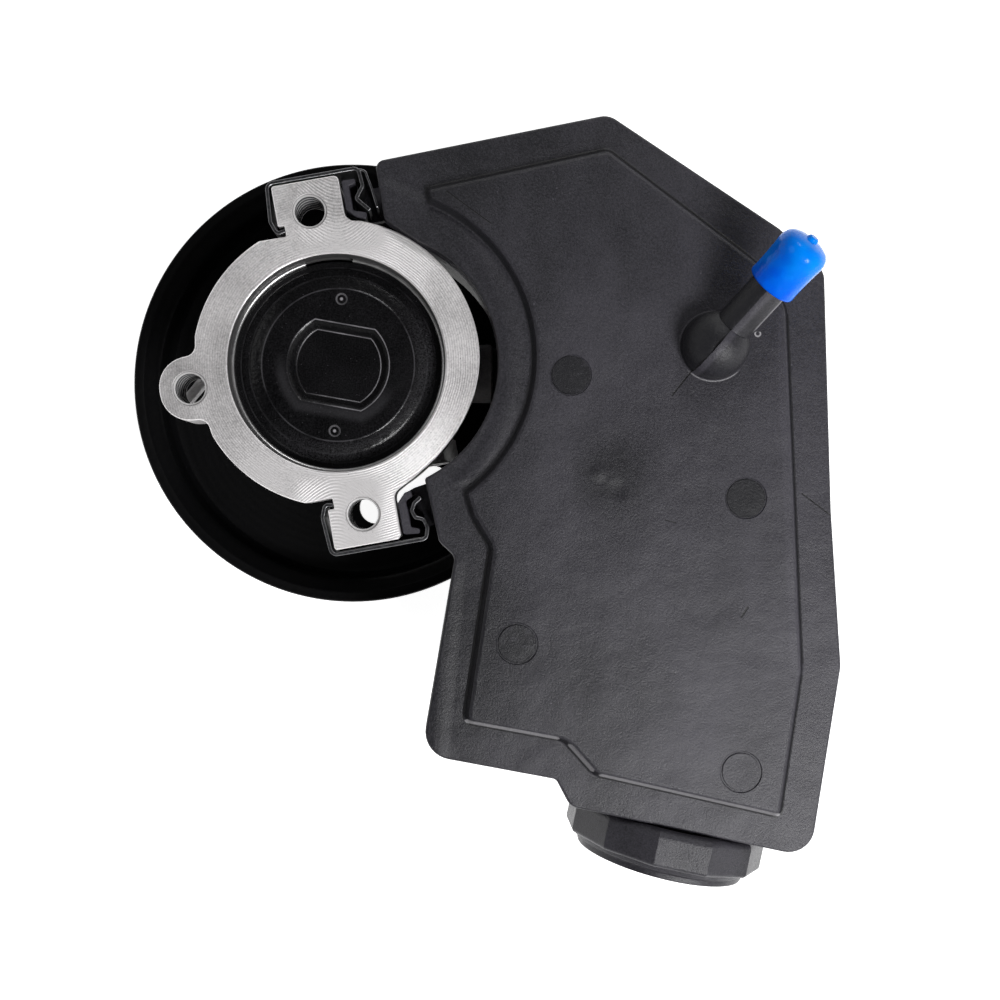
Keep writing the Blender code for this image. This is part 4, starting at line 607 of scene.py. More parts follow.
# %% Sheave
P_REAR, P_FRONT, WEB = -49.0, -77.0, -65.0
middle = 0.5 * (P_REAR + P_FRONT)
section = [(72.98, P_FRONT + 0.5), (72.98, P_FRONT + 2.0), (72.7, P_FRONT + 2.4), (70.8, middle - 10.68)]
for i in range(6):
    z = middle - 10.68 + (i + 0.5) * 3.56
    section += [(68.4, z - 0.35), (68.2, z), (68.4, z + 0.35)]
    if i < 5:
        section += [(70.6, z + 1.45), (70.8, z + 1.78), (70.6, z + 2.11)]
section += [(70.8, middle + 10.68), (72.7, P_REAR - 2.4), (72.98, P_REAR - 2.0), (72.98, P_REAR - 0.5), (72.6, P_REAR),
            (70.3, P_REAR), (69.7, P_REAR - 0.2), (69.2, P_REAR - 0.9), (66.6, P_REAR - 3.6), (65.7, P_REAR - 4.7),
            (65.4, P_REAR - 6.0), (65.4, WEB + 3.6), (64.9, WEB + 1.8), (63.6, WEB + 0.4), (62.0, WEB), (34.0, WEB),
            (32.5, WEB + 0.4), (25.8, WEB + 3.6), (24.6, WEB + 4.0), (14.8, WEB + 4.0), (14.8, WEB + 1.0),
            (24.2, WEB + 1.0), (25.4, WEB + 0.7), (31.8, WEB - 2.5), (33.4, WEB - 3.0), (62.6, WEB - 3.0),
            (64.5, WEB - 3.8), (65.4, WEB - 5.4), (65.6, P_FRONT + 4.9), (66.5, P_FRONT + 3.8), (69.4, P_FRONT + 0.8),
            (70.0, P_FRONT + 0.2), (70.6, P_FRONT), (72.5, P_FRONT)]
sheave = lathe("sheave", section, 180, ring=True)


def kidney(middle_angle):
    a, b = middle_angle - 15, middle_angle + 15
    return (arc((0, 0), 42 + 5.6, a, b, 12) + arc(polar(42, b), 5.6, b, b + 180, 14)[1:-1]
            + arc((0, 0), 42 - 5.6, b, a, 12) + arc(polar(42, a), 5.6, a + 180, a + 360, 14)[1:-1])


cut(sheave, *(slab("window", plain(kidney(-66 + 120 * i)), WEB - 5, WEB + 6) for i in range(3)))
print("sheave:", len(sheave.data.polygons), "faces")

# %% [markdown]
# The hub is turned steel, pressed on the shaft. Its nose has the groove that a puller grips.

# %% Hub
hub = lathe("hub", [(8.2, -75.3), (8.7, -75.8), (13.3, -75.8), (14.0, -75.5), (14.5, -74.8), (14.5, -73.1), (14.2, -72.8),
                    (12.3, -72.8), (12.3, -69.8), (14.2, -69.8), (14.5, -69.5), (14.5, -60.7), (20.0, -60.7),
                    (20.0, -60.2), (19.3, -58.8), (18.6, -58.6), (9.0, -58.6), (8.2, -59.0)], 96, ring=True)
print("hub:", len(hub.data.polygons), "faces")

# %% [markdown]
# ## Reservoir
# The tank is moulded in two halves from filled nylon and welded behind a flange. The rear half is a
# shallow lid with a raised field. Its saddle side is an arc round the pump, and its two horns end
# just before the ears. Every corner is listed once, clockwise, with its radius.

# %% Outlines of rim and raised field
def saddle(lower, deep, upper, horn):
    """Concave arc through three points, as two ends with small radii and the apex between them."""
    a, b, c = Vector(lower), Vector(deep), Vector(upper)
    d = 2 * (a.x * (b.y - c.y) + b.x * (c.y - a.y) + c.x * (a.y - b.y))
    x = (a.dot(a) * (b.y - c.y) + b.dot(b) * (c.y - a.y) + c.dot(c) * (a.y - b.y)) / d
    y = (a.dot(a) * (c.x - b.x) + b.dot(b) * (a.x - c.x) + c.dot(c) * (b.x - a.x)) / d
    middle, radius = Vector((x, y)), (a - Vector((x, y))).length
    half = (a - middle).angle(c - middle) / 2
    apex = middle + (a - middle + c - middle).normalized() * (radius / math.cos(half))
    past = 1 + 0.6 / radius
    return [(*(apex + (a - apex) * past), horn), (*apex, radius), (*(apex + (c - apex) * past), horn)]


CLEAR = EAR_HALF + 2.2        # an ear and the lug beside it
rim = (saddle(polar(RING + 0.75, -51), (RING + 5, -2.8), polar(RING + 0.75, 53), 1.1)
       + [(*on_ear(1, RING - 3.6, CLEAR + 8.8), 2), (*on_ear(1, EAR_TOP + 1.2, CLEAR + 9.0), 2.5)]
       + [(77.6, 70.1, 6), (126.3, 37.6, 14), (138.8, 25.4, 5), (140.7, -42.4, 5), (143.47, -86.5, 10),
          (134.8, -140.8, 7.5), (66.7, -126.4, 4.5), (62.6, -118.6, 2), (24.3, -111.5, 8)]
       + [(*on_ear(-1, EAR_TOP + 7.6, CLEAR + 11.9), 3), (*on_ear(-1, EAR_TOP + 2.7, CLEAR + 8.2), 3)])
DEEP = RING + 5 + 9.4
start, end = Vector(polar(DEEP - 3.4, -44.4)), Vector(polar(DEEP - 3.4, 58.0))
field = (saddle(start, (DEEP, 6.7), end, 1.4) + [(*(end + Vector((-2.6, 4.4))), 1.7)]
         + [(77.3, 60.0, 3.6), (119.3, 28.2, 12), (127.8, 15.4, 8), (132.2, -87.3, 6), (126.0, -129.0, 2.2),
            (73.4, -117.1, 5.5), (64.7, -107.4, 6.5), (36.3, -102.2, 3.2)]
         + [(*(start + Vector((6.6, -16.1))), 5.0), (*(start + Vector((1.3, -7.5))), 4.5)])
print("rim corners:", len(rim), "- field corners:", len(field))

# %% [markdown]
# The lid is a slab with a rounded upper edge. The raised field starts a little outside its foot line,
# sweeps up through a fillet, and rolls over into its flat, which is what makes the soft dark line
# all round it. The two are fused, then hollowed from below.

# %% Lid with its raised field
FLANGE_TOP, WELD, FIELD_TOP = 11.0, 7.0, 14.0
lid = slab("lid", rim, WELD, FLANGE_TOP, upper=over(0.85, count=4), lower=[(0.15, 0.15)])
raised = slab("raised", inset(field, -0.72), FLANGE_TOP - 0.5, FIELD_TOP,
              upper=under(0.8, end=65, count=3) + [(0.74, 1.6)] + over(1.62, 25, 90, 5))
fuse(lid, raised)
hollow = field[:3] + field[4:]
cut(lid, slab("hollow", inset(hollow, 2.8), WELD - 1, FIELD_TOP - 2.6))
print("lid:", len(lid.data.polygons), "faces")

# %% [markdown]
# The ejector pins of the mould have left four round marks in the field, two sunk discs and two
# rings. The gate has left a low bump with a soft hollow beside it. All are cut or raised by tenths of a millimetre.

# %% Marks of the mould
marks = {(66.5, -4.2): "disc", (115.7, -38.8): "disc", (51.4, -79.7): "ring", (114.3, -115.7): "ring"}
for (x, y), form in marks.items():
    if form == "disc":
        tool = lathe("mark", [(0, 13.78), (5.25, 13.78), (5.35, 13.6), (5.65, 13.6), (5.95, 14.0), (6.05, 14.4), (0, 14.4)], 64)
    else:
        tool = lathe("mark", [(5.05, 14.4), (5.35, 13.62), (5.75, 13.62), (6.2, 14.4)], 64, ring=True)
    tool.location = (x, y, 0)
    settle(tool)
    cut(lid, tool)
print("marks:", len(marks))

# %% [markdown]
# The return nozzle grows from a ball that stands in the field. Ball, collar and tube are turned in
# one piece along the nozzle's own axis, and the foot of the ball is a second turned form with a fillet.

# %% Elbow and nozzle
ELBOW = Vector((106.6, 3.9, 17.0))
NOZZLE = Vector((math.cos(math.radians(33)) * math.cos(math.radians(50)),
                 math.cos(math.radians(33)) * math.sin(math.radians(50)), math.sin(math.radians(33))))
ball = [(r, z) for z, r in arc((0, 0), 9.3, 180, 34, 18)]
ball[0] = (0, ball[0][1])
tube = ball + [(5.38, 7.8), (5.3, 8.3), (5.25, 21.2), (4.9, 21.8), (4.9, 29.8), (4.75, 31.0), (5.45, 31.1), (5.5, 31.4), (4.85, 35.2),
               (4.5, 35.9), (4.2, 36.0), (0, 36.0)]
nozzle = aim(lathe("nozzle", tube, 64), ELBOW, NOZZLE)
foot = lathe("foot", [(0, -3.4), (9.95, -3.4), (9.95, -2.9), (9.65, -2.7), (9.4, -2.3), (9.3, -1.6), (9.2, 0), (0, 0)], 72)
foot.location = ELBOW
settle(foot)
seam = [(0, -9.5, 0), (9.45, -4.0, 2), (9.45, 4.0, 4), (5.15, 8.6, 0.5), (5.15, 29, 0), (0, 29, 0)]
seam = slab("seam", seam, -0.14, 0.14)
up = (Vector((0, 0, 1)) - NOZZLE * NOZZLE.z).normalized()
seam.matrix_world = Matrix.Translation(ELBOW) @ Matrix((up, NOZZLE, up.cross(NOZZLE))).transposed().to_4x4()
settle(seam)
fuse(lid, nozzle, foot, seam)
bore = rod("bore", 3.2, ELBOW, ELBOW + 37 * NOZZLE, 32)
cut(lid, bore, rod("bore", 3.2, (ELBOW.x, ELBOW.y, WELD), ELBOW, 32))
print("lid with nozzle:", len(lid.data.polygons), "faces")

# %% [markdown]
# The front half is the deep tub. It shares the rim's outline, steps in by the width of the flange and
# tapers a little towards its floor, as every moulded wall does to leave the mould. The inside is cut
# by a second tub, and the neck, the spigot to the pump and the two lugs are fused on.

# %% Tub
T_TOP, T_LOW, T_FLOOR = 6.7, 2.7, -42.0
wall = inset(rim, 4.0)
tub = slab("tub", rim, T_LOW, T_TOP, upper=[(0.15, 0.15)], lower=over(0.6, count=2))
body = slab("body", wall, T_FLOOR, T_LOW + 0.5, lower=over(3.2, count=5))
fuse(tub, body)
inner = inset(wall, 2.6)
room = slab("room", inner, T_FLOOR + 2.6, T_TOP + 1, lower=over(1.8, count=3))
N_LEVEL = -14.0
N_FOOT = Vector((121.49, -25.82, N_LEVEL))
N_AXIS = Vector((*polar(1.0, -102), 0))
neck = aim(lathe("neck", [(0, 0), (18.6, 0), (18.6, 10.2), (18.3, 10.9), (17.9, 11.0 + 0.6), (0, 11.6)], 96),
           N_FOOT + N_AXIS * 106.4, N_AXIS)
port_pad = rod("port_pad", 9.0, (48.55, 0, PORT_LEVEL), (52, 0, PORT_LEVEL), 64)
spigot = rod("spigot", 5.6, (51.6, 0, PORT_LEVEL), (38.5, 0, PORT_LEVEL), 48, 0.5)
fuse(tub, neck, port_pad, spigot)
cut(tub, room)
cut(tub, rod("bore", 16.0, N_FOOT + N_AXIS * 90, N_FOOT + N_AXIS * 119, 96))
cut(tub, rod("bore", 3.6, (37, 0, PORT_LEVEL), (58, 0, PORT_LEVEL), 32))
print("tub:", len(tub.data.polygons), "faces")

# %% [markdown]
# A hooked lug stands beside each square ear and is squeezed to it by the clip. A shelf below ties it
# to the tub. Both are drawn in the ear's own directions and mirrored by their outline, not by the object.

# %% Lugs and shelves
NEAR = EAR_HALF + 0.6
lugs = {1: [(42.9, NEAR, 0.4), (40.4, 12.8, 0.7), (39.3, 15.4, 0.7), (41.1, 16.2, 0.7), (42.4, NEAR + 2.0, 0.6),
            (49.6, NEAR + 1.9, 0.6), (49.9, 14.3, 0.5), (51.3, 14.3, 0.5), (51.5, NEAR, 0.8)],
        -1: [(42.6, NEAR, 0.4), (40.0, 12.7, 0.5), (39.6, 14.6, 0.6), (41.4, 14.8, 0.6), (42.4, 12.7, 0.7),
             (50.1, 12.9, 0.8), (50.9, 15.3, 0.5), (52.3, 15.0, 0.5), (51.8, NEAR, 1.0)]}
shelves = {1: [(40.8, NEAR, 0.5), (40.8, EAR_HALF + 18, 0), (50.8, EAR_HALF + 18, 0), (50.8, NEAR, 0.8)],
           -1: [(42.6, NEAR, 0.5), (40.0, 12.2, 0.8), (38.8, 15.5, 1.0), (38.2, 19.5, 1.0), (38.4, EAR_HALF + 18, 0),
                (50.8, EAR_HALF + 18, 0), (50.8, NEAR, 0.8)]}
for side in (1, -1):
    lug = slab("lug", [(*on_ear(side, a, b), r) for a, b, r in lugs[side]], -6.3, 6.7, upper=[(0.2, 0.2)])
    fuse(tub, lug, slab("shelf", [(*on_ear(side, a, b), r) for a, b, r in shelves[side]], -8.3, -5.3))
print("tub with lugs:", len(tub.data.polygons), "faces")

# %% [markdown]
# ## Filler cap
# The cap is moulded with twelve flats to grip, which catch the light one by one. Its grip is a slab
# with twelve corners, the disc above it is turned, and both are hollowed from below.

# %% Cap
grip = [(*polar(29.6, 30 * i + 14), 0.8) for i in range(12)]
G_FROM, G_TO, D_TO = 110.1, 120.6, 124.5
cap = slab("cap", grip, G_FROM, G_TO, upper=over(1.3, count=4), lower=over(2.2, count=4))
disc = lathe("disc", [(0, G_TO - 1), (27.2, G_TO - 1), (27.1, G_TO + 0.2), (26.6, G_TO + 1.2), (25.3, G_TO + 1.8),
                      (25.0, G_TO + 2.2), (25.0, D_TO - 0.6), (24.8, D_TO - 0.15), (24.3, D_TO), (17.5, D_TO),
                      (17.0, D_TO - 0.7), (0, D_TO - 0.7)], 120)
fuse(cap, disc)
cut(cap, lathe("inside", [(0, 109), (19.2, 109), (19.2, 121.7), (0, 121.7)], 96))
cut(cap, lathe("inside", [(21.2, 109), (25.7, 109), (25.7, 117.8), (21.2, 117.8)], 96, ring=True))
cap = aim(cap, N_FOOT, N_AXIS)
print("cap:", len(cap.data.polygons), "faces")

# %% [markdown]
# ## Shipping cap
# Blue vinyl is dipped over a rod and stripped off, so its wall swells at the mouth, and a small drop
# stays at the tip. The whole section is turned along the nozzle.

# %% Blue cap
END, MOUTH = 38.0, 22.3
vinyl = lathe("vinyl", [(0, MOUTH), (6.55, MOUTH), (6.85, MOUTH + 0.3), (6.95, MOUTH + 0.9), (6.85, MOUTH + 2.0),
                        (6.85, END - 10), (7.0, END - 6), (7.15, END - 4.4), (7.0, END - 3.0), (6.5, END - 1.8),
                        (5.6, END - 0.9), (4.2, END - 0.3), (2.6, END), (1.75, END + 0.1), (1.6, END + 0.4),
                        (1.5, END + 0.8), (1.1, END + 1.15), (0, END + 1.2)], 72)
hole = lathe("hole", [(0, MOUTH - 1), (6.1, MOUTH - 1), (5.75, MOUTH + 0.6), (5.75, END - 1.7), (0, END - 1.7)], 72)
cut(vinyl, hole)
vinyl = aim(vinyl, ELBOW, NOZZLE)
print("blue cap:", len(vinyl.data.polygons), "faces")

# %% [markdown]
# ## Clips and outlet
# Each clip is a strip of spring steel bent round an ear: a hook in the notch, a run along the side and
# the back, and an S-shaped tongue that presses on the lug.

# %% Clips
def strip(path, thickness):
    """Outline of a bent strip from the corners of its middle line."""
    places = [Vector((a, b)) for a, b, _ in path]
    left, right = [], []
    for i, here in enumerate(places):
        before = (here - places[i - 1]).normalized() if i else None
        after = (places[i + 1] - here).normalized() if i + 1 < len(places) else None
        one, two = before or after, after or before
        normal = Vector((-one.y - two.y, one.x + two.x)).normalized()
        reach = thickness / 2 / max(0.3, math.cos(one.angle(two) / 2))
        turn = one.x * two.y - one.y * two.x
        radius = path[i][2]
        grow = math.copysign(thickness / 2, turn) if radius else 0.0
        left.append((*(here + normal * reach), max(0.0, radius - grow)))
        right.append((*(here - normal * reach), max(0.0, radius + grow)))
    return left + right[::-1]


def bent(name, side, path, thickness):
    corners = [(*on_ear(side, a, b), r) for a, b, r in strip(path, thickness)]
    return slab(name, corners, -5.0, 7.0, upper=[(0.16, 0.1)], lower=[(0.16, 0.1)])


HOOK = [(39.9, -8.1, 0), (39.5, -10.4, 1.2), (43.0, -11.7, 2.2), (54.1, -10.9, 1.9)]
upper_clip = bent("upper_clip", 1, HOOK + [(54.1, 15.7, 1.6), (48.8, 16.2, 0.8), (45.5, 13.7, 0.8), (41.6, 17.0, 0)], 0.95)
leg = bent("leg", 1, [(54.0, 14.2, 0), (53.0, 17.6, 1.5), (47.8, 18.6, 3.0), (42.0, 19.3, 0)], 0.6)
fuse(upper_clip, leg)
lower_clip = bent("lower_clip", -1, HOOK + [(54.1, 16.6, 1.5), (50.8, 17.5, 1.4), (48.4, 16.7, 1.2), (47.5, 14.5, 0.9),
                                            (45.4, 13.9, 0.9), (43.4, 15.0, 0.9), (42.1, 17.0, 0)], 0.95)
print("clips:", len(upper_clip.data.polygons), len(lower_clip.data.polygons), "faces")

# %% [markdown]
# The outlet fitting closes the flow control bore. Its hexagon is a turned blank whose six flats are
# milled, so the corners run out in arcs at the faces.

# %% Outlet fitting
hex_to = 22.0 + 0.3 + 1.6 + 0.3 + 7.6
blank = lathe("fitting", [(0, 13.0), (6.2, 13.0), (6.7, 13.6), (6.75, 24.2), (8.2, 24.2), (9.4, 24.9), (9.4, 31.1),
                          (8.2, 31.8), (0, 31.8)], 96)
flats = slab("flats", plain([polar(9.4, 60 * i) for i in range(6)]), 12, 33)
work(blank, flats, "INTERSECT")
cut(blank, lathe("seat", [(0, 12), (4.4, 12), (4.4, 27.0), (5.6, 28.6), (5.6, 31.4), (6.2, 33), (0, 33)], 64))
fitting = aim(blank, on_flow(0), Vector(on_flow(1)) - Vector(on_flow(0)))
print("fitting:", len(fitting.data.polygons), "faces")

# %% [markdown]
# ## Valve spring
# The spring of the flow control valve is pressed together when the spool slides, so it can't ride on
# one body. A ring of wire is screwed round the valve's axis, as long as its solid, and its ends are
# closed.

# %% Coil of five turns
solid = frame["nodes"]["flow_valve_spring"]
flow = Vector((*polar(1.0, TILT - 90), 0))
wound = [solid.matrix_world @ v.co * 1000 for v in solid.data.vertices]
middle = sum(wound, Vector()) / len(wound)
first, last = (pick((p - middle).dot(flow) for p in wound) for pick in (min, max))
SPRING_R, SPRING_WIRE = 4.4, 0.68
lay_down()
bpy.ops.mesh.primitive_circle_add(vertices=10, radius=SPRING_WIRE, location=(SPRING_R, 0, first + SPRING_WIRE + 0.05),
                                  rotation=(math.pi / 2, 0, 0))
spring = bpy.context.object
spring.name = "spring"
settle(spring)
wind = spring.modifiers.new("wind", "SCREW")
wind.steps = wind.render_steps = 28
wind.iterations = 5
wind.screw_offset = (last - first - 2 * SPRING_WIRE - 0.1) / wind.iterations
wind.use_merge_vertices = False
spring.select_set(True)
bpy.context.view_layer.objects.active = spring
bpy.ops.object.modifier_apply(modifier="wind")
pick_up(spring)
bpy.ops.mesh.select_all(action="SELECT")
bpy.ops.mesh.fill_holes(sides=0)
set_outward(spring)
lay_down()
spring = aim(spring, middle, flow)
print("valve spring:", round(last - first, 1), "mm,", len(spring.data.polygons), "faces")

# %% [markdown]
# ## Milled casting
# The rear face of the real housing is milled, so the teeth of the cutter have left fine arcs that cross
# each other, and the light breaks on them. Below that face the skin is sand-cast and dull. The threads
# are painted with pale crests and dark roots, as light and shade would fall on them. One finish holds
# all three, told apart by level and by distance from the holes. The milled face also carries painted
# light and shade by its angle round the axis and on its ears, a painted highlight on its broken edge, a
# painted shade in the bore and a painted highlight on the rib seen through the side ear.

# %% Casting
def milled_casting(name):
    f = Finish(name, Specular_IOR_Level=0.5)
    wander = f.noise(0.12, 3.0)
    rings = (f.radius() * 9.2 + wander * 9.0).wave()
    tips = (((f.x * f.x + 30.0).root() - f.y.size()) * 6.6 + wander * 2.0).wave()
    lower = f.x.size().above(9.0, 16.0, 1.0, 0.0) * f.y.size().above(30.0, 36.0)
    cutter = rings * (1.0 - lower) + tips * lower
    # Painted sheen: the milled face is made lighter or darker by its angle round the axis.
    painted_sheen_by_angle = (f.y * f.y * 0.87 - f.x * f.x * 0.87 + f.x * f.y) / (f.x * f.x + f.y * f.y + 1.0)
    # Painted shade: the upper ear, the side ear and the left of the ring are made darker.
    ears = f.y.above(38.0, 45.0) * 0.34 + f.x.above(-46.0, -38.0, 1.0, 0.0) * 0.2 + f.x.above(-34.0, -20.0, 0.08, 0.0)
    grain = f.noise(1.7, 5.0, 0.75)
    cloud = f.noise(0.05, 3.0)
    pits = f.cells(0.33).above(0.03, 0.09)
    face = f.z.above(7.6, 7.8)
    cast = f.noise(1.1, 5.0, 0.7)
    # The sum holds the painted sheen, the painted ear shade and a painted light that makes the lower ear lighter.
    milled = cutter * (0.06 + lower * 0.08) + (grain - 0.5) * 1.5 + (cloud - 0.5) * 1.1 + painted_sheen_by_angle * 0.22 - ears + f.y.above(-34.0, -24.0, 0.12, 0.0) + 0.84
    # Painted highlight: a bright line on the broken edge round the milled face.
    edge = f.z.above(7.70, 7.76) * f.z.above(7.95, 7.99, 1.0, 0.0)
    tone = milled * face * (pits * 0.5 + 0.5) + cast * 0.55 * (1.0 - face) + edge * 0.45
    hole = 1.0
    for x, y in holes:
        hole = hole * f.radius(x, y).above(4.95, 5.15)
    deep = (1.0 - hole) * (1.0 - f.z.above(7.2, 7.6))
    colour = f.blend(tone, (0.22, 0.212, 0.214, 1), (0.94, 0.915, 0.92, 1))
    # Painted light and shade in the threaded holes: pale crests and dark roots.
    crests = (f.z * (2 * math.pi / 2.4) + 1.0).wave().above(0.1, 0.9, 0.0, 0.75)
    colour = f.blend(deep, colour, f.blend(crests, (0.05, 0.05, 0.053, 1), (0.85, 0.84, 0.84, 1)))
    # Painted shade: the bore wall below the milled face is made nearly black.
    bore = f.radius().above(31.9, 32.3, 1.0, 0.0) * f.z.above(7.55, 7.72, 1.0, 0.0)
    colour = f.blend(bore * 0.8, colour, (0.05, 0.05, 0.052, 1))
    # Painted highlight: the rib seen deep in the side ear's hole is made near white.
    bar = f.radius(*holes[2]).above(5.2, 5.4, 1.0, 0.0) * f.z.above(-7.7, -7.45, 1.0, 0.0)
    colour = f.blend(bar, colour, (0.95, 0.94, 0.94, 1))
    rough = (grain - 0.5) * 0.25 + 0.4 + (1.0 - face) * 0.14
    height = (cutter * 0.7 + grain * 0.6) * face + cast * 1.6 * (1.0 - face)
    return f.give(colour, rough, [(height, 0.06, 0.7)], 0.75 - face * 0.2 - deep * 0.65)


print("milling marks every", round(2 * math.pi / 10.5, 2), "mm")

# %% [markdown]
# ## Black coatings
# The cover is dipped in glossy black lacquer, which keeps the grain of the steel and a few specks of dust.
# Its creases, the lips of its pocket and its dimples carry painted highlights, and the shoulder on its
# lower right a painted sheen. The pulley is sprayed, dull, and slightly streaked round its axis.

# %% Lacquer and spray paint
def black_lacquer(name):
    f = Finish(name, Specular_IOR_Level=0.28)
    peel = f.noise(0.5, 2.0)
    grain = f.noise(2.4, 3.0, 0.6)
    dust = 1.0 - f.cells(0.55).above(0.04, 0.10)
    cloud = f.noise(0.07, 4.0)
    ux, uy = polar(1.0, 90 - TILT)
    outside = ((f.x * ux + f.y * uy).size() - 9.4).most(f.radius() - 12.3)
    # Painted highlights: thin bright lines on the lips of the pocket.
    crest = (outside - 0.02).size().above(0.05, 0.22, 1.0, 0.0) + (outside - 2.6).size().above(0.05, 0.25, 0.8, 0.0)
    # Painted highlights: bright rings on the creases of the shoulder and on its outer lip.
    crease = (f.radius() - 22.2).size().above(0.08, 0.3, 1.0, 0.0) + (f.radius() - 25.9).size().above(0.1, 0.4, 0.3, 0.0)
    lips = (f.radius() - 28.4).size().above(0.1, 0.35, 0.6, 0.0)
    # Breaks the painted highlights into patches.
    gleam_patches = f.noise(0.16, 3.0).above(0.35, 0.6, 0.15, 1.0)
    # Weights the painted highlights on the pocket's lips towards the right.
    lit = (f.x * 0.8 + f.y * 0.35).above(-11.0, -3.0, 0.05, 1.0)
    # Painted highlight: a soft crescent round the pocket on its lower side.
    glow = (outside - 4.2).size().above(0.2, 2.6, 0.3, 0.0) * (f.y + f.x * 0.3).above(-9.0, 0.0, 1.0, 0.0)
    # All painted highlights; they also lower the roughness a little.
    painted_gleam = (crease * 0.75 + lips * 0.5) * gleam_patches + glow
    # Painted highlights: a pale ring and a bright dot at each dimple.
    dimple_highlights = 0.0
    for degrees in (87.0, 267.0):
        away = f.radius(*polar(19.2, degrees))
        dimple_highlights = dimple_highlights + (away - 1.5).size().above(0.1, 0.35, 0.35, 0.0) + away.above(0.25, 0.6, 1.0, 0.0)
    # Painted sheen: the shoulder on the lower right is lighter and grainier.
    band = (f.radius() - 25.5).size().above(1.5, 3.5, 1.0, 0.0) * (f.x - f.y).above(-10.0, 25.0)
    tone = dust * 0.5 + (grain - 0.5) * (band * 0.9 + 0.35) + band * 0.15 + cloud * 0.12 + painted_gleam * 0.8
    colour = f.blend(tone, (0.0008, 0.0008, 0.0010, 1), (0.075, 0.073, 0.08, 1))
    colour = f.blend(dimple_highlights.most(crest * lit * (gleam_patches * 0.5 + 0.4)), colour, (0.30, 0.29, 0.31, 1))
    return f.give(colour, (cloud - 0.5) * 0.15 + 0.24 - painted_gleam * 0.05, [(peel, 0.35, 0.4), (grain, 0.025, 0.5)])


def pulley_paint(name):
    f = Finish(name, Specular_IOR_Level=0.13)
    streaks = (f.radius() * 2.4 + f.noise(0.05) * 5.0).wave()
    grain = f.noise(1.4, 4.0, 0.6)
    dust = 1.0 - f.cells(0.3).above(0.04, 0.09)
    colour = f.blend(dust * 0.4 + (grain - 0.5) * 0.3 + 0.2, (0.001, 0.001, 0.0012, 1), (0.012, 0.012, 0.013, 1))
    return f.give(colour, streaks * 0.03 + (grain - 0.5) * 0.2 + 0.4, [(grain, 0.1, 0.5), (streaks, 0.05, 0.2)])


print("black coatings ready")

# %% [markdown]
# ## Filled nylon
# Glass-filled nylon is satin black with a fine leathery grain, greyer where it has been rubbed. The
# lid shows more of it than anything else, so it has a finish of its own: dark discs where the pins
# pushed, a soft stain round the gate, weld lines, scratches, a few pale specks and a pale shaving, each at its place.
# It also carries painted light and shade: the lid darkens to the left, the raised field has a painted
# dark wall and foot line and painted highlights along its right and lower edges, and the ball and tube
# are painted dark on the left and lit on the right, with highlights along their edges. The cap's copy
# is a little darker, which is painted shade too.

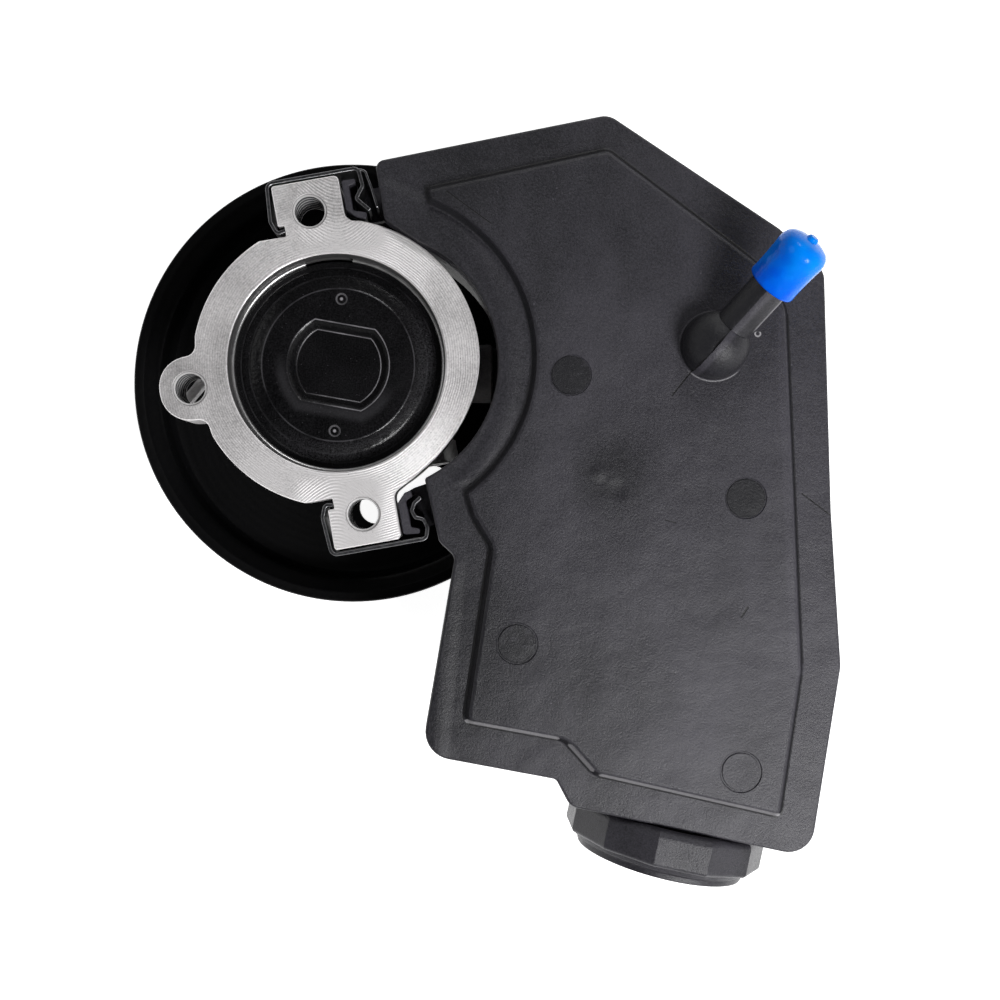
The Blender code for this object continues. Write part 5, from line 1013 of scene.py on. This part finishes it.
# %% Nylon
def nylon(name, marks_and_painted_light=False, shade=0.0):
    f = Finish(name, Specular_IOR_Level=0.4)
    grain = f.noise(1.7, 4.0, 0.68)
    fine = f.noise(3.2, 2.0, 0.5)
    swell = f.noise(0.09, 2.0)
    cloud = f.noise(0.022, 3.0)
    streak = f.noise(0.05, 3.0, 0.55, (1.0, 0.35, 1.0))
    # Lowered by shade: the cap's darker copy of this finish is painted shade.
    tone = (cloud - 0.5) * 0.8 + (streak - 0.5) * 0.7 + (grain - 0.5) * 0.9 + (fine - 0.5) * 0.6 + (0.36 - shade)
    rubs = 1.0 - f.noise(0.5, 5.0, 0.7, (1.0, 0.16, 1.0)).above(0.30, 0.34)
    specks = 1.0 - f.cells(0.16).above(0.025, 0.05)
    height, dents = grain, rubs * 0.5
    if marks_and_painted_light:
        top = f.z.above(13.2, 13.6)
        discs = f.radius(66.5, -4.2).least(f.radius(115.7, -38.8)).above(5.3, 5.7, 1.0, 0.0)
        worn = f.radius(51.4, -79.7).above(5.2, 5.6, 1.0, 0.0)
        blots = f.noise(0.55, 3.0, 0.6).above(0.35, 0.62)
        stain = f.radius(78.5, -31.5).above(2.0, 17.0, 1.0, 0.0)
        # Real marks: dark pin discs, the ring mark and the gate stain. Painted shade: the whole lid darkens towards its
        # left.
        tone = tone - (discs * (blots * 0.5 + 0.5) * 0.85 + worn * blots * 0.45 + stain * 0.25) * top - f.x.above(24.0, 108.0, 0.32, -0.06)
        # Painted highlight: a soft light band inside the right edge of the raised field.
        tone = tone + f.near_line((126.2, 12.0), (130.2, -87.0), 2.6) * top * 0.12
        lines = f.near_line((95.0, -9.9), (101.0, -2.3), 0.3)
        for start, end, wide in (((132.3, -37.5), (141.2, -44.2), 0.26), ((116.2, -69.4), (114.4, -72.2), 0.35),
                                 ((92.9, -44.9), (96.0, -45.7), 0.2), ((44.0, 38.4), (31.5, 47.5), 0.2)):
            lines = lines.most(f.near_line(start, end, wide))
        dents = dents + lines
        dip = f.radius(79.8, -36.6).above(0.4, 3.8)
        bump = f.radius(74.3, -31.8).above(0.3, 3.2, 1.0, 0.0)
        swell = swell + (dip * 0.5 + bump * 0.55) * top
        around = f.radius()
        band = around.above(46.6, 49.6) * around.above(50.6, 54.4, 1.0, 0.0) * f.y.above(-36.0, -33.0)
        across = f.x - (f.y + 50.0) * 0.082 - 29.3
        lower = across.above(0.8, 4.0) * across.above(4.6, 8.8, 1.0, 0.0) * f.y.above(-58.0, -54.0, 1.0, 0.0)
        swell = swell + (band + lower) * 0.8 * (1.0 - top)
        # Painted shade on the wall that rises to the raised field.
        wall = f.z.above(11.05, 11.4) * f.z.above(12.5, 13.5, 1.0, 0.0)
        tone = tone - wall * 0.5
        # Painted light and shade on the ball and tube: dark left of the seam, a lit strip right of it.
        aside = (f.x - ELBOW.x) * 0.766 - (f.y - ELBOW.y) * 0.643
        half = aside.above(-0.3, 0.1)
        spout = f.z.above(14.3, 15.0)
        tone = tone - spout * (0.68 - half * 0.38 - half * aside.above(1.2, 2.4, 0.5, 0.0))
        # Painted highlight along the right edge of the tube.
        highlight_and_shaving = (aside - 5.05).size().above(0.15, 0.5, 0.5, 0.0) * spout * (f.x * 0.643 + f.y * 0.766).above(78.5, 80.5)
        for (x0, y0, r0), (x1, y1, r1) in zip(field[3:13], field[4:14]):
            along = Vector((x1 - x0, y1 - y0)).normalized()
            inward = Vector((along.y, -along.x))
            start, end = Vector((x0, y0)) + along * r0 * 0.3, Vector((x1, y1)) - along * r1 * 0.3
            # Painted shade: a dark line along the foot of each edge of the raised field.
            lines = lines.most(f.near_line(start - inward * 0.3, end - inward * 0.3, 0.45) * 0.75)
            # Painted highlight along the lower edges of the raised field.
            if along.x < -0.5 and y0 < -90.0:
                highlight_and_shaving = highlight_and_shaving.most(f.near_line(start + inward * 0.5, end + inward * 0.5, 0.85) * (grain * 0.8 + 0.25))
        # A pale plastic shaving lying on the lid, in its own colour.
        shaving = (f.radius(119.0, 7.4) - 0.75).size().above(0.12, 0.3, 1.0, 0.0) * f.y.above(7.7, 8.1, 1.0, 0.0)
        # Painted highlight: a thin light arc at the lower foot of the ball.
        ball_edge_highlight = (f.radius(ELBOW.x, ELBOW.y) - 9.9).size().above(0.08, 0.25, 0.45, 0.0) * f.y.above(-4.5, -2.5, 1.0, 0.0)
        highlight_and_shaving = highlight_and_shaving.most(shaving).most(ball_edge_highlight)
    colour = f.blend(tone + specks * 0.5, (0.009, 0.0088, 0.0115, 1), (0.076, 0.072, 0.088, 1))
    if marks_and_painted_light:
        # Painted highlights, with the pale shaving among them.
        colour = f.blend(highlight_and_shaving, colour, (0.42, 0.41, 0.43, 1))
        # Dark scratches, and the painted shade at the foot of the field.
        colour = f.blend(lines * 0.9, colour, (0.002, 0.002, 0.002, 1))
    rough = (grain - 0.5) * 0.35 + (cloud - 0.5) * 0.15 + 0.42
    return f.give(colour, rough, [(swell, 0.9, 0.5), (height, 0.16, 0.8), (fine, 0.07, 0.6), (1.0 - dents, 0.10, 0.6)])


print("nylon ready")

# %% [markdown]
# ## Bare and plated metals
# Springs keep the dark scale of their heat treatment, and painted highlights line the broken edges along their top.
# Turned parts carry fine rings from the lathe. The vane group is ground and a little clouded by fluid.

# %% Steels and bronze
def turned_metal(name, dark, light, roughness, pitch=0.5):
    f = Finish(name, Metallic=1.0)
    rings = (f.radius() * (6.28 / pitch) + f.noise(0.3) * 2.0).wave()
    cloud = f.noise(0.2, 4.0, 0.6)
    grain = f.noise(2.2, 3.0)
    tone = rings * 0.08 + (cloud - 0.5) * 0.9 + (grain - 0.5) * 0.3 + 0.5
    rough = (cloud - 0.5) * 0.25 + (grain - 0.5) * 0.12 + roughness
    return f.give(f.blend(tone, (*dark, 1), (*light, 1)), rough, [(rings * 0.4 + grain, 0.03, 0.45)])


def clip_steel(name):
    f = Finish(name, Metallic=0.9)
    scale = f.noise(1.1, 4.0, 0.65)
    cloud = f.noise(0.25, 3.0)
    # Painted highlights: bright lines on the broken edges along the top of the strip.
    painted_edge_lines = f.z.above(6.86, 6.93) * f.z.above(6.965, 6.99, 1.0, 0.0)
    tone = painted_edge_lines * 0.55 + (scale - 0.5) * 0.35 + (cloud - 0.5) * 0.2 + 0.12
    colour = f.blend(tone, (0.018, 0.018, 0.021, 1), (0.55, 0.55, 0.57, 1))
    return f.give(colour, (scale - 0.5) * 0.3 + 0.4, [(scale, 0.06, 0.5)])


print("metals ready")

# %% [markdown]
# ## Rubber and dipped vinyl
# Seals are dull and faintly grained. The shipping cap is bright blue vinyl, thick and glossy, with
# slow ripples from the dip and painted light that makes it lighter from its mouth towards its tip.

# %% Rubber and vinyl
def seal_rubber(name):
    f = Finish(name, Specular_IOR_Level=0.3)
    grain = f.noise(2.0, 4.0)
    return f.give(f.blend(grain, (0.010, 0.010, 0.010, 1), (0.03, 0.03, 0.03, 1)), grain * 0.2 + 0.55, [(grain, 0.05, 0.5)])


def dipped_vinyl(name):
    f = Finish(name, Specular_IOR_Level=0.12)
    cloud = f.noise(0.13, 2.0)
    fine = f.noise(1.4, 3.0)
    ripple = f.noise(0.3, 1.5)
    # Painted light: the cap grows lighter from its mouth towards its tip.
    side = (f.x * 0.766 + f.y * 0.643).above(96.5, 113.0)
    tone = side * 0.6 + (cloud - 0.5) * 0.9 + (fine - 0.5) * 0.12 + 0.15
    colour = f.blend(tone, (0.0, 0.068, 0.80, 1), (0.0, 0.30, 1.0, 1))
    return f.give(colour, (cloud - 0.5) * 0.12 + (fine - 0.5) * 0.08 + 0.2, [(ripple, 0.7, 0.4)])


print("soft finishes ready")

# %% [markdown]
# ## Which finish goes where
# The record names a material slot for every node. One finish stands for each slot, and the pieces
# that are seen best get a finish of their own.

# %% Finishes by slot and by piece
finishes = {
    "cast_aluminium": milled_casting("milled_casting"),
    "black_paint": pulley_paint("pulley_paint"),
    "bright_steel": turned_metal("turned_steel", (0.34, 0.34, 0.35), (0.74, 0.73, 0.72), 0.33),
    "spring_steel": clip_steel("clip_steel"),
    "black_plastic": nylon("nylon"),
    "seal_rubber": seal_rubber("seal_rubber"),
    "bearing_bronze": turned_metal("bearing_bronze", (0.36, 0.22, 0.10), (0.72, 0.50, 0.27), 0.35),
    "blue_vinyl": dipped_vinyl("dipped_vinyl"),
}
# The cap gets a slightly darker copy of the nylon, painted shade for its lit facets.
own = {"cover_plate": black_lacquer("black_lacquer"), "tank_lid": nylon("nylon_marks_and_painted_light", True),
       "tank_cap": nylon("cap_nylon", False, 0.04)}
print("finishes:", len(finishes) + len(own))

# %% [markdown]
# ## Handing over
# Each piece is shrunk to metres, smoothed where its faces meet at a small angle, given its finish and
# hung on the body that carries it, if it has one, and the solid that it stands for is hidden.

# %% Each piece on its body
def hand_over(piece, name, body, slot, *nodes):
    piece.name = piece.data.name = name
    piece.scale = (0.001, 0.001, 0.001)
    settle(piece)
    piece.select_set(True)
    bpy.context.view_layer.objects.active = piece
    bpy.ops.object.shade_smooth_by_angle(angle=math.radians(32))
    even = piece.modifiers.new("even", "WEIGHTED_NORMAL")
    even.keep_sharp = True
    bpy.ops.object.modifier_apply(modifier="even")
    piece.data.materials.clear()
    piece.data.materials.append(own.get(name, finishes[slot]))
    if body:
        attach(piece, body)
    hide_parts(*nodes)
    lay_down()


hand_over(housing, "casting", "pump", "cast_aluminium", "pump_housing")
hand_over(cover, "cover_plate", "pump", "black_paint", "end_cover")
hand_over(wire, "cover_wire", "pump", "bright_steel", "end_cover_ring")
hand_over(sheave, "spun_sheave", "rotating_group", "black_paint", "pulley_sheave")
hand_over(hub, "turned_hub", "rotating_group", "bright_steel", "pulley_hub")
hand_over(lid, "tank_lid", "pump", "black_plastic", "reservoir_rear_half")
hand_over(tub, "tank_tub", "pump", "black_plastic", "reservoir_front_half")
hand_over(cap, "tank_cap", "filler_cap", "black_plastic", "filler_cap")
hand_over(vinyl, "shipping_cap", "dust_cap", "blue_vinyl", "nozzle_dust_cap")
hand_over(upper_clip, "spring_clip_1", "pump", "spring_steel", "clip_upper")
hand_over(lower_clip, "spring_clip_2", "pump", "spring_steel", "clip_lower")
hand_over(fitting, "pipe_fitting", "pump", "bright_steel", "outlet_fitting")
hand_over(spring, "valve_spring", None, "spring_steel", "flow_valve_spring")
(middle + flow * first) / 1000
(middle + flow * last) / 1000
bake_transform(spring)
slots = {part["node"]: part["material_slot"] for part in frame["record"]["subparts"]}
for name, node in frame["nodes"].items():
    for place in node.material_slots:
        place.material = finishes[slots[name]]
print("nodes with a finish:", len(slots))

# %% [markdown]
# ## Floor, light and camera
# The pump lies on a pale floor under soft light. The floor is near white to the camera and keeps the shadow.

# %% Stage
lay_down()
bpy.ops.mesh.primitive_plane_add(size=6.0, location=(0, 0, -0.0772))
floor = bpy.context.object
floor.name = "floor"
pale = Finish("pale_floor", Roughness=0.9, Specular_IOR_Level=0.0)
pale.shader.inputs["Base Color"].default_value = (0.9, 0.9, 0.9, 1)
sharp = [pale.node("ShaderNodeLightPath", output=kind) for kind in ("Is Camera Ray", "Is Glossy Ray", "Is Transmission Ray")]
rays = sharp[0].most(sharp[1]).most(sharp[2])
glow = pale.node("ShaderNodeEmission", {}, {"Color": (1, 1, 1, 1), "Strength": rays * 0.93})
both = pale.node("ShaderNodeAddShader", {}, {0: Wire(pale, pale.shader.outputs[0]), 1: glow})
pale.tree.links.new(both.socket, pale.tree.nodes["Material Output"].inputs["Surface"])
floor.data.materials.append(pale.material)

world = bpy.data.worlds.new("studio")
bpy.context.scene.world = world
world.use_nodes = True
sky = world.node_tree.nodes["Background"]
sky.inputs["Color"].default_value = (1, 1, 1, 1)


class Room(Finish):
    """The world's nodes, reckoned with in the same way."""

    def __init__(self, tree):
        self.tree = tree


room = Room(world.node_tree)
way = room.node("ShaderNodeTexCoord", output="Generated")
east, north, height = (room.node("ShaderNodeSeparateXYZ", {}, {0: way}, i) for i in range(3))
seen, mirrored, through = (room.node("ShaderNodeLightPath", output=kind)
                           for kind in ("Is Camera Ray", "Is Glossy Ray", "Is Transmission Ray"))
soft = height.above(0.2, 0.95, 0.36, 0.04) * east.above(-1.0, 0.6, 0.45, 1.15)
backdrop = mirrored * height.above(0.02, 0.4, 1.0, 0.0)
level = soft.most(backdrop).most(seen).most(through)
room.tree.links.new(level.socket, sky.inputs["Strength"])


def lamp(name, place, target, size, power):
    bpy.ops.object.light_add(type="AREA", location=place)
    light = bpy.context.object
    light.name = name
    light.data.shape = "DISK"
    light.data.size = size
    light.data.energy = power
    light.rotation_euler = (Vector(target) - Vector(place)).to_track_quat("-Z", "Y").to_euler()


lamp("key", (0.34, -0.42, 0.58), (0.08, -0.06, 0), 0.3, 5.2)
lamp("fill", (-0.95, 0.35, 1.0), (0, 0, 0), 0.7, 1.2)
lamp("rim", (0.35, 1.0, 0.9), (0, 0, 0), 0.4, 4)

bpy.ops.object.camera_add(location=(0.0334, -0.0410, 0.351), rotation=(0, 0, 0))
camera = bpy.context.object
camera.data.lens = 43.2
camera.data.sensor_width = 36.0
camera.data.shift_x = 0.047
camera.data.shift_y = 0.006
camera.data.clip_start = 0.01
bpy.context.scene.camera = camera
bpy.context.scene.view_settings.view_transform = "Standard"
print("stage set")
